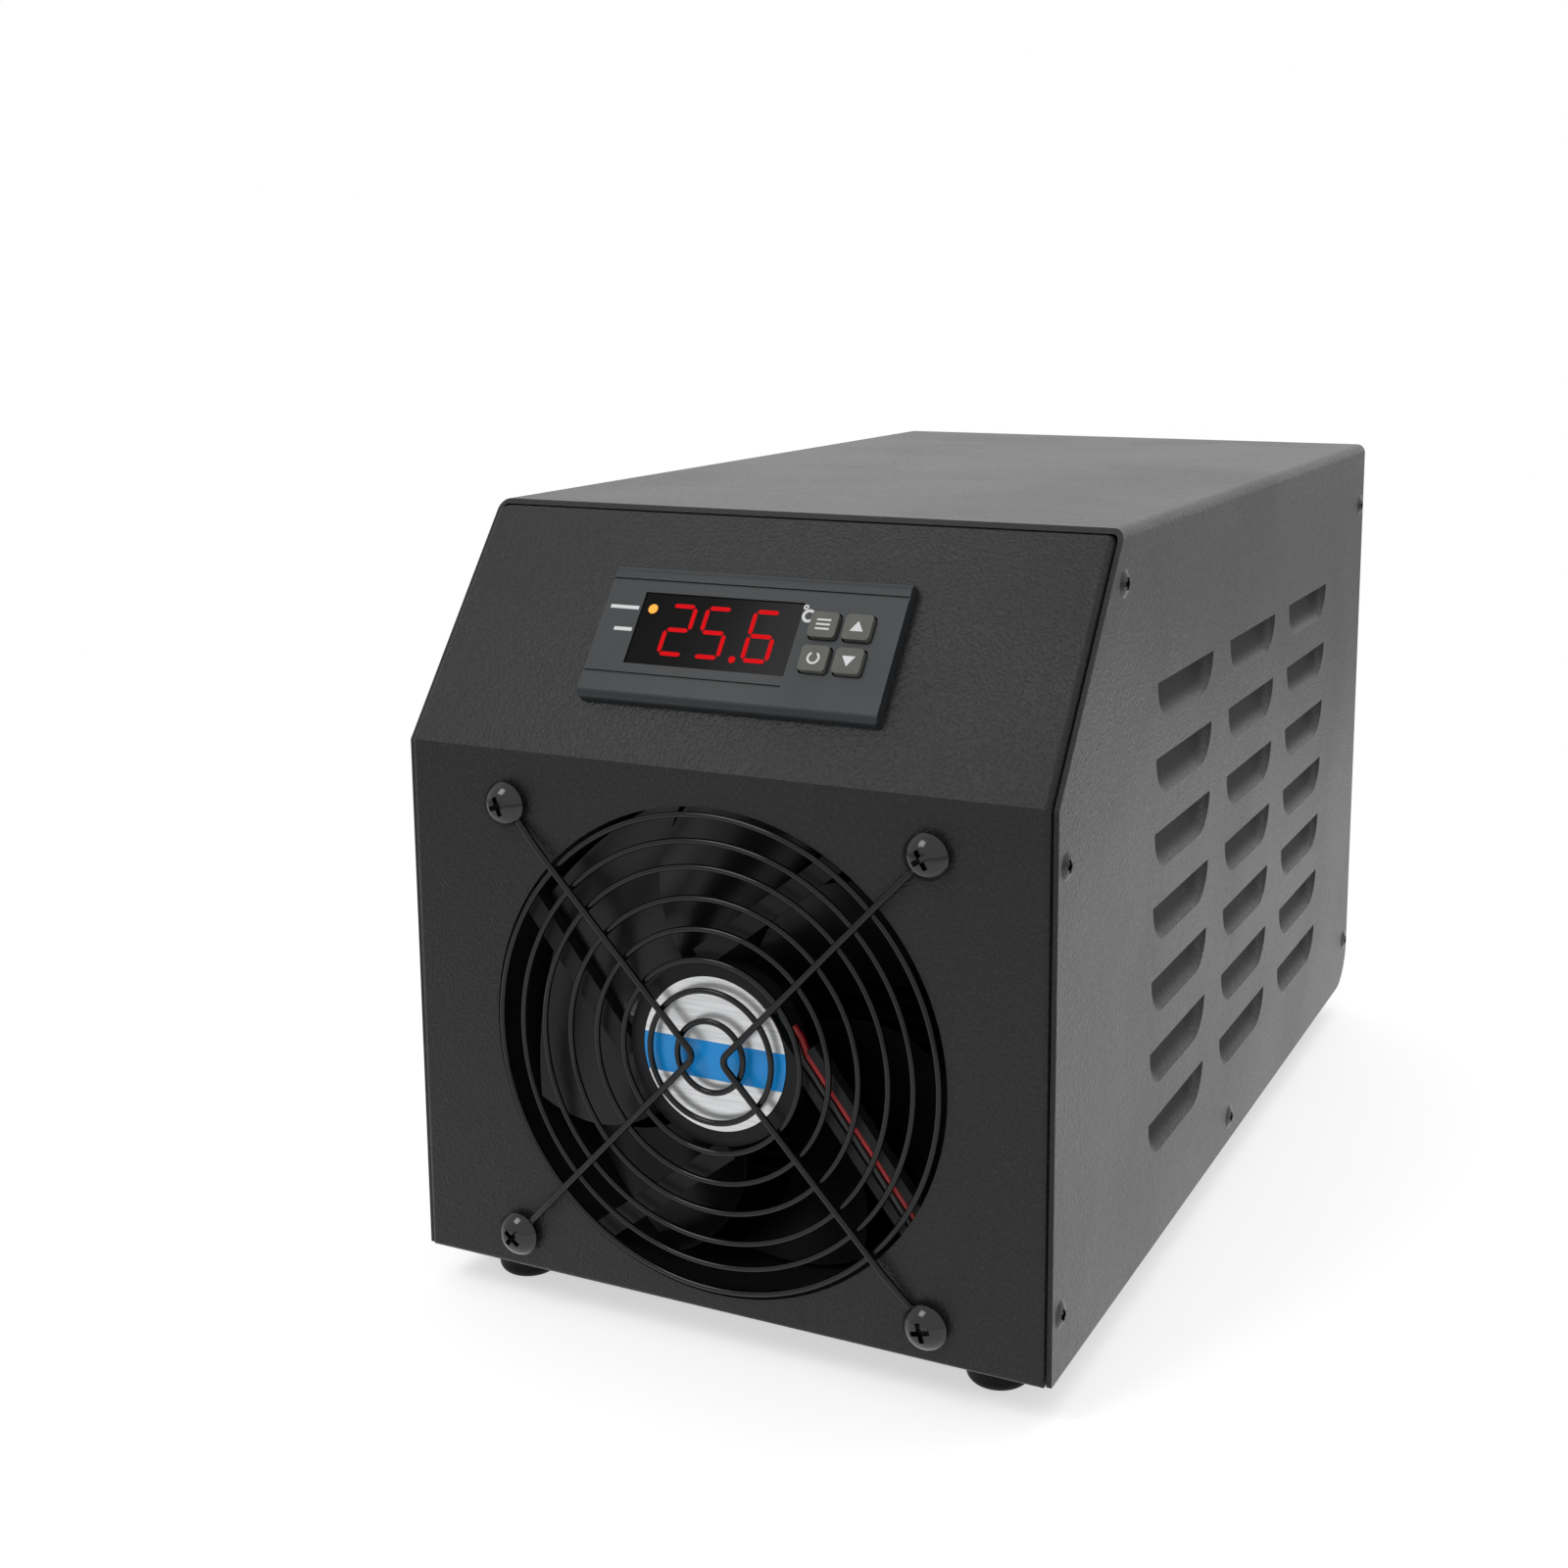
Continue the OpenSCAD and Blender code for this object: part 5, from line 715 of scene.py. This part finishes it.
def impeller():
    points, faces = blade_solid()
    start = bpy.data.meshes.new("blade")
    start.from_pydata([tuple(p) for p in points], [], faces)
    work = bmesh.new()
    work.from_mesh(start)
    bmesh.ops.recalc_face_normals(work, faces=work.faces)
    work.to_mesh(start)
    work.free()
    blades = grown_mesh("impeller_blades", blade_tree(),
                        {"Blades": BLADES, "Centre": fan_point(0, 0, 0)}, start)
    edge, boss_r, boss_l, bore = 1.2, 3.4, 4, 1.5
    back = HUB_Y1 - HUB_WALL
    profile = [(HUB_R - HUB_WALL, HUB_Y0), (HUB_R, HUB_Y0)]
    profile += [(HUB_R - edge + edge * math.cos(a), HUB_Y1 - edge + edge * math.sin(a))
                for a in (math.pi / 2 * i / 6 for i in range(7))]
    profile += [(bore, HUB_Y1), (bore, HUB_Y1 - boss_l), (boss_r, HUB_Y1 - boss_l),
                (boss_r, back), (HUB_R - HUB_WALL, back)]
    hub_points, hub_faces = lathe(profile, fan_point)
    all_points = [v.co.copy() for v in blades.vertices]
    all_faces = [list(p.vertices) for p in blades.polygons]
    return mesh_piece("impeller_fine", *gather([(all_points, all_faces), (hub_points, hub_faces)]),
                      "impeller_plastic", "impeller", 40)


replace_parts(impeller(), "fan_impeller")

# Fan leads, in the strut's groove and on to the supply
LEAD_R, WIRE_GAP, GROOVE_D, STRUT_OFFSET, STRUT_ANGLE = 0.75, 0.1, 1.8, 19.3, 38
LEAD_OUT, NOTCH_END, BOARD_Y = 58.5, 13, 3.2
SUPPLY_Y, LEAD_TURN_GAP, LEAD_LOW_Z, SLOT_PITCH, SLOT_END_Y = 116, 19, 11.95, 13.514, 126.7
LEAD_SIDE_GAP, SINK_Y0, SINK_GAP, SLOT_MIDDLE = 7, 32, 7.4, 3
LEAD_START, LEAD_CLIMB, LEAD_LEVEL, LEAD_BEND_R = 1, 5, 1, 3


def lead_route(k, slot):
    off = k * (LEAD_R + WIRE_GAP)
    front, deep = FAN_Y + GROOVE_D - LEAD_R - WIRE_GAP, BOARD_Y - LEAD_R - WIRE_GAP
    mid, x = FAN_Y + FAN_DEPTH / 2 - off, FAN_SIZE / 2 + LEAD_SIDE_GAP + off
    a = math.radians(STRUT_ANGLE - 90)

    def strut(s):
        side = STRUT_OFFSET + off
        return (s * math.cos(a) - side * math.sin(a), s * math.sin(a) + side * math.cos(a))

    z = FAN_Z + strut(LEAD_OUT)[1]
    turn, end_x = SUPPLY_Y - LEAD_TURN_GAP + off, (slot - SLOT_MIDDLE) * SLOT_PITCH
    corners = [fan_point(strut(s)[0], y, strut(s)[1]) for s, y in
               ((LEAD_START, deep), (NOTCH_END - LEAD_CLIMB, deep), (NOTCH_END - LEAD_LEVEL, front),
                (LEAD_OUT, front), (LEAD_OUT, mid))]
    corners += [case_point(*p) for p in
                ((x, mid, z), (x, SINK_Y0 - SINK_GAP / 2, z), (x, SINK_Y0 - SINK_GAP / 2, LEAD_LOW_Z),
                 (x, turn, LEAD_LOW_Z), (end_x, turn, LEAD_LOW_Z),
                 (end_x, SLOT_END_Y, LEAD_LOW_Z))]
    return rounded_route(corners, LEAD_BEND_R * MM, 6)


for color, k, slot in (("red", 1, 1), ("black", -1, 0)):
    lead = mesh_piece("fan_lead_" + color + "_fine", *tube(lead_route(k, slot), LEAD_R * MM, 12),
                      color + "_lead", smooth_angle=60)
    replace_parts(lead, "fan_lead_" + color)

# Thermostat's display: digits of seven segments, a lamp, key marks and plain ticks
PRINT_T = 0.05
DIGIT_W, DIGIT_H, SEGMENT_W, SEGMENT_GAP = 6.0, 12.2, 1.05, 0.28
DIGIT_TOP = 7.2
SEGMENTS = {"2": "abged", "5": "afgcd", "6": "afgedc"}


def bar(x0, y0, x1, y1, width):
    """Outline of a segment with pointed ends."""
    along = Vector((x1 - x0, y1 - y0)).normalized()
    side = Vector((-along[1], along[0])) * width / 2
    a, b = Vector((x0, y0)), Vector((x1, y1))
    inset = along * width / 2
    return [a, a + inset + side, b - inset + side, b, b - inset - side, a + inset - side]


def digit(figure, left):
    right, top = left + DIGIT_W, DIGIT_TOP
    mid, low, g = top - DIGIT_H / 2, top - DIGIT_H, SEGMENT_GAP
    ends = {"a": (left + g, top, right - g, top), "b": (right, top - g, right, mid + g),
            "c": (right, mid - g, right, low + g), "d": (left + g, low, right - g, low),
            "e": (left, mid - g, left, low + g), "f": (left, top - g, left, mid + g),
            "g": (left + g, mid, right - g, mid)}
    return [bar(*ends[s], SEGMENT_W) for s in SEGMENTS[figure]]


def oblong(x0, y0, x1, y1):
    return [(x0, y0), (x1, y0), (x1, y1), (x0, y1)]


def disc(x, y, r, steps=32):
    return [(x + r * math.cos(2 * math.pi * i / steps), y + r * math.sin(2 * math.pi * i / steps))
            for i in range(steps)]


def arc_band(x, y, r, width, first, last, steps=28):
    """Outline of a curved stroke from one angle to another, in degrees."""
    angles = [math.radians(first + (last - first) * i / steps) for i in range(steps + 1)]
    outer = [(x + (r + width / 2) * math.cos(a), y + (r + width / 2) * math.sin(a)) for a in angles]
    inner = [(x + (r - width / 2) * math.cos(a), y + (r - width / 2) * math.sin(a)) for a in angles]
    return outer + inner[::-1]


def printed(name, outlines, top, slot, body="chiller"):
    """Thin printed or lit shapes on a surface of the face at a height above the panel."""
    solids = [prism(o, face_point, top - PRINT_T, top + PRINT_T) for o in outlines]
    return mesh_piece(name, *gather(solids), slot, body, 30)


figures = digit("2", -19.9) + digit("5", -10.7) + digit("6", 1.5) + [disc(-0.95, -5.1, 0.85)]
printed("display_figures", figures, LENS_OUT, "segment")
printed("display_lamp", [disc(-24.9, 6.0, 1.2)], LENS_OUT, "lamp")
unit_mark = [arc_band(13.6, 9.0, 0.46, 0.36, 0, 180), arc_band(13.6, 9.0, 0.46, 0.36, 180, 360),
             arc_band(14.8, 6.9, 1.3, 0.72, 50, 310)]
TICK_END, TICK_T = -28.4, 0.45
ticks = [oblong(x, y - TICK_T, TICK_END, y + TICK_T) for x, y in ((-35.9, 5.8), (-33.1, 0.2))]
printed("face_marks", unit_mark + ticks, FACE_T, "print")
BUTTON_TOP = FACE_T + BUTTON_OUT
ARROW_W, ARROW_BASE, ARROW_TIP = 1.6, 1.1, 1.4
LINE_W, LINE_T, LINE_PITCH, LOOP_R, LOOP_T = 1.7, 0.22, 1.1, 1.3, 0.5
for key, (x, y) in BUTTONS.items():
    marks = {
        "up": [[(x - ARROW_W, y - ARROW_BASE), (x + ARROW_W, y - ARROW_BASE), (x, y + ARROW_TIP)]],
        "down": [[(x - ARROW_W, y + ARROW_BASE), (x + ARROW_W, y + ARROW_BASE), (x, y - ARROW_TIP)]],
        "set": [oblong(x - LINE_W, y + d - LINE_T, x + LINE_W, y + d + LINE_T)
                for d in (-LINE_PITCH, 0, LINE_PITCH)],
        "reset": [arc_band(x, y, LOOP_R, LOOP_T, 120, 420)],
    }[key]
    printed("mark_" + key, marks, BUTTON_TOP, "print", key + "_button")

# Finishes of the CAD nodes; round ones get a smoothly shaded copy
SMOOTHED = ["cover", "cover_screws", "guard_screws", "feet", "foot_screws", "fan_frame",
            "front_panel", "rear_panel", "base_tray", "thermostat_bezel", "water_inlet",
            "water_outlet", "spigot_nuts", "fan_shaft", "fan_magnet", "mains_inlet",
            "inlet_screws", "fan_label", "inner_hoses", "mains_leads", "power_leads",
            "switch_rocker", "button_set", "button_up", "button_reset", "button_down"]
for name, node in nodes_of_part.items():
    node.data.materials.clear()
    node.data.materials.append(FINISHES[slot_of_node[name]])
for name in SMOOTHED:
    smooth_copy(name)

# Floor, world and lamps
FLOOR_R, FLOOR_LIFT, FAR_GLOSS = 14.0, 0.57, 0.5
FADE_FROM, FADE_TO, SHEEN_FROM, SHEEN_TO = 0.2, 0.42, 0.3, 1.0
WORLD_LIGHT, WORLD_SHEEN = 0.42, 0.84
floor_mesh = bpy.data.meshes.new("floor")
floor_mesh.from_pydata([(-FLOOR_R, -FLOOR_R, 0), (FLOOR_R, -FLOOR_R, 0), (FLOOR_R, FLOOR_R, 0),
                        (-FLOOR_R, FLOOR_R, 0)], [], [[0, 1, 2, 3]])
floor = bpy.data.objects.new("floor", floor_mesh)
scene.collection.objects.link(floor)


def floor_finish():
    """Pale paper that keeps the shadow near the object and fades into the white behind."""
    material = bpy.data.materials.new("floor_paper")
    material.use_nodes = True
    tree = material.node_tree
    shader = tree.nodes["Principled BSDF"]
    out = tree.nodes["Material Output"]
    place = tree.nodes.new("ShaderNodeTexCoord").outputs["Object"]
    shader.inputs["Roughness"].default_value = 0.9
    shader.inputs["Specular IOR Level"].default_value = 0.0
    mix = tree.nodes.new("ShaderNodeMix")
    mix.data_type = "RGBA"
    mix.inputs["A"].default_value = (0.9, 0.9, 0.9, 1)
    mix.inputs["B"].default_value = (0.93, 0.93, 0.93, 1)
    tree.links.new(noise(tree, place, 60, 3), mix.inputs["Factor"])
    tree.links.new(mix.outputs["Result"], shader.inputs["Base Color"])
    far = tree.nodes.new("ShaderNodeVectorMath")
    far.operation = "LENGTH"
    tree.links.new(place, far.inputs[0])
    fade = spread(tree, far.outputs["Value"], FADE_FROM, FADE_TO)
    sheen = spread(tree, far.outputs["Value"], SHEEN_FROM, SHEEN_TO, 1.0, FAR_GLOSS)
    rays = tree.nodes.new("ShaderNodeLightPath")
    seen = reckon(tree, "MULTIPLY", fade, rays.outputs["Is Camera Ray"])
    seen = reckon(tree, "MAXIMUM", seen, rays.outputs["Is Glossy Ray"])
    shader.inputs["Emission Color"].default_value = (1, 1, 1, 1)
    tree.links.new(reckon(tree, "MULTIPLY", rays.outputs["Is Camera Ray"], FLOOR_LIFT),
                   shader.inputs["Emission Strength"])
    white = tree.nodes.new("ShaderNodeEmission")
    tree.links.new(reckon(tree, "MAXIMUM", rays.outputs["Is Camera Ray"], sheen),
                   white.inputs["Strength"])
    blend = tree.nodes.new("ShaderNodeMixShader")
    tree.links.new(seen, blend.inputs["Fac"])
    tree.links.new(shader.outputs["BSDF"], blend.inputs[1])
    tree.links.new(white.outputs["Emission"], blend.inputs[2])
    tree.links.new(blend.outputs["Shader"], out.inputs["Surface"])
    return material


floor_mesh.materials.append(floor_finish())


def studio_world(level, sheen):
    """White for what sees it directly, one soft level for diffuse light and one for reflections."""
    world = bpy.data.worlds.new("studio")
    scene.world = world
    world.use_nodes = True
    tree = world.node_tree
    back = tree.nodes["Background"]
    back.inputs["Color"].default_value = (1, 1, 1, 1)
    rays = tree.nodes.new("ShaderNodeLightPath")
    gloss = reckon(tree, "MULTIPLY", rays.outputs["Is Glossy Ray"], sheen)
    seen = reckon(tree, "MAXIMUM", rays.outputs["Is Camera Ray"], gloss)
    seen = reckon(tree, "MAXIMUM", seen, rays.outputs["Is Transmission Ray"])
    strength = reckon(tree, "MAXIMUM", seen, level)
    tree.links.new(strength, back.inputs["Strength"])


def softbox(name, place, aim, size, power):
    data = bpy.data.lights.new(name, "AREA")
    data.shape, data.size, data.energy = "SQUARE", size, power
    lamp = bpy.data.objects.new(name, data)
    scene.collection.objects.link(lamp)
    lamp.location = place
    lamp.rotation_mode = "QUATERNION"
    lamp.rotation_quaternion = (Vector(aim) - Vector(place)).to_track_quat("-Z", "Y")


studio_world(WORLD_LIGHT, WORLD_SHEEN)
softbox("key", (-0.5, -1.0, 1.25), (0, -0.05, 0.12), 0.6, 5.0)
softbox("top", (0.3, 0.4, 1.3), (0, 0, 0.15), 0.9, 3.2)

scene.view_settings.view_transform = "Standard"
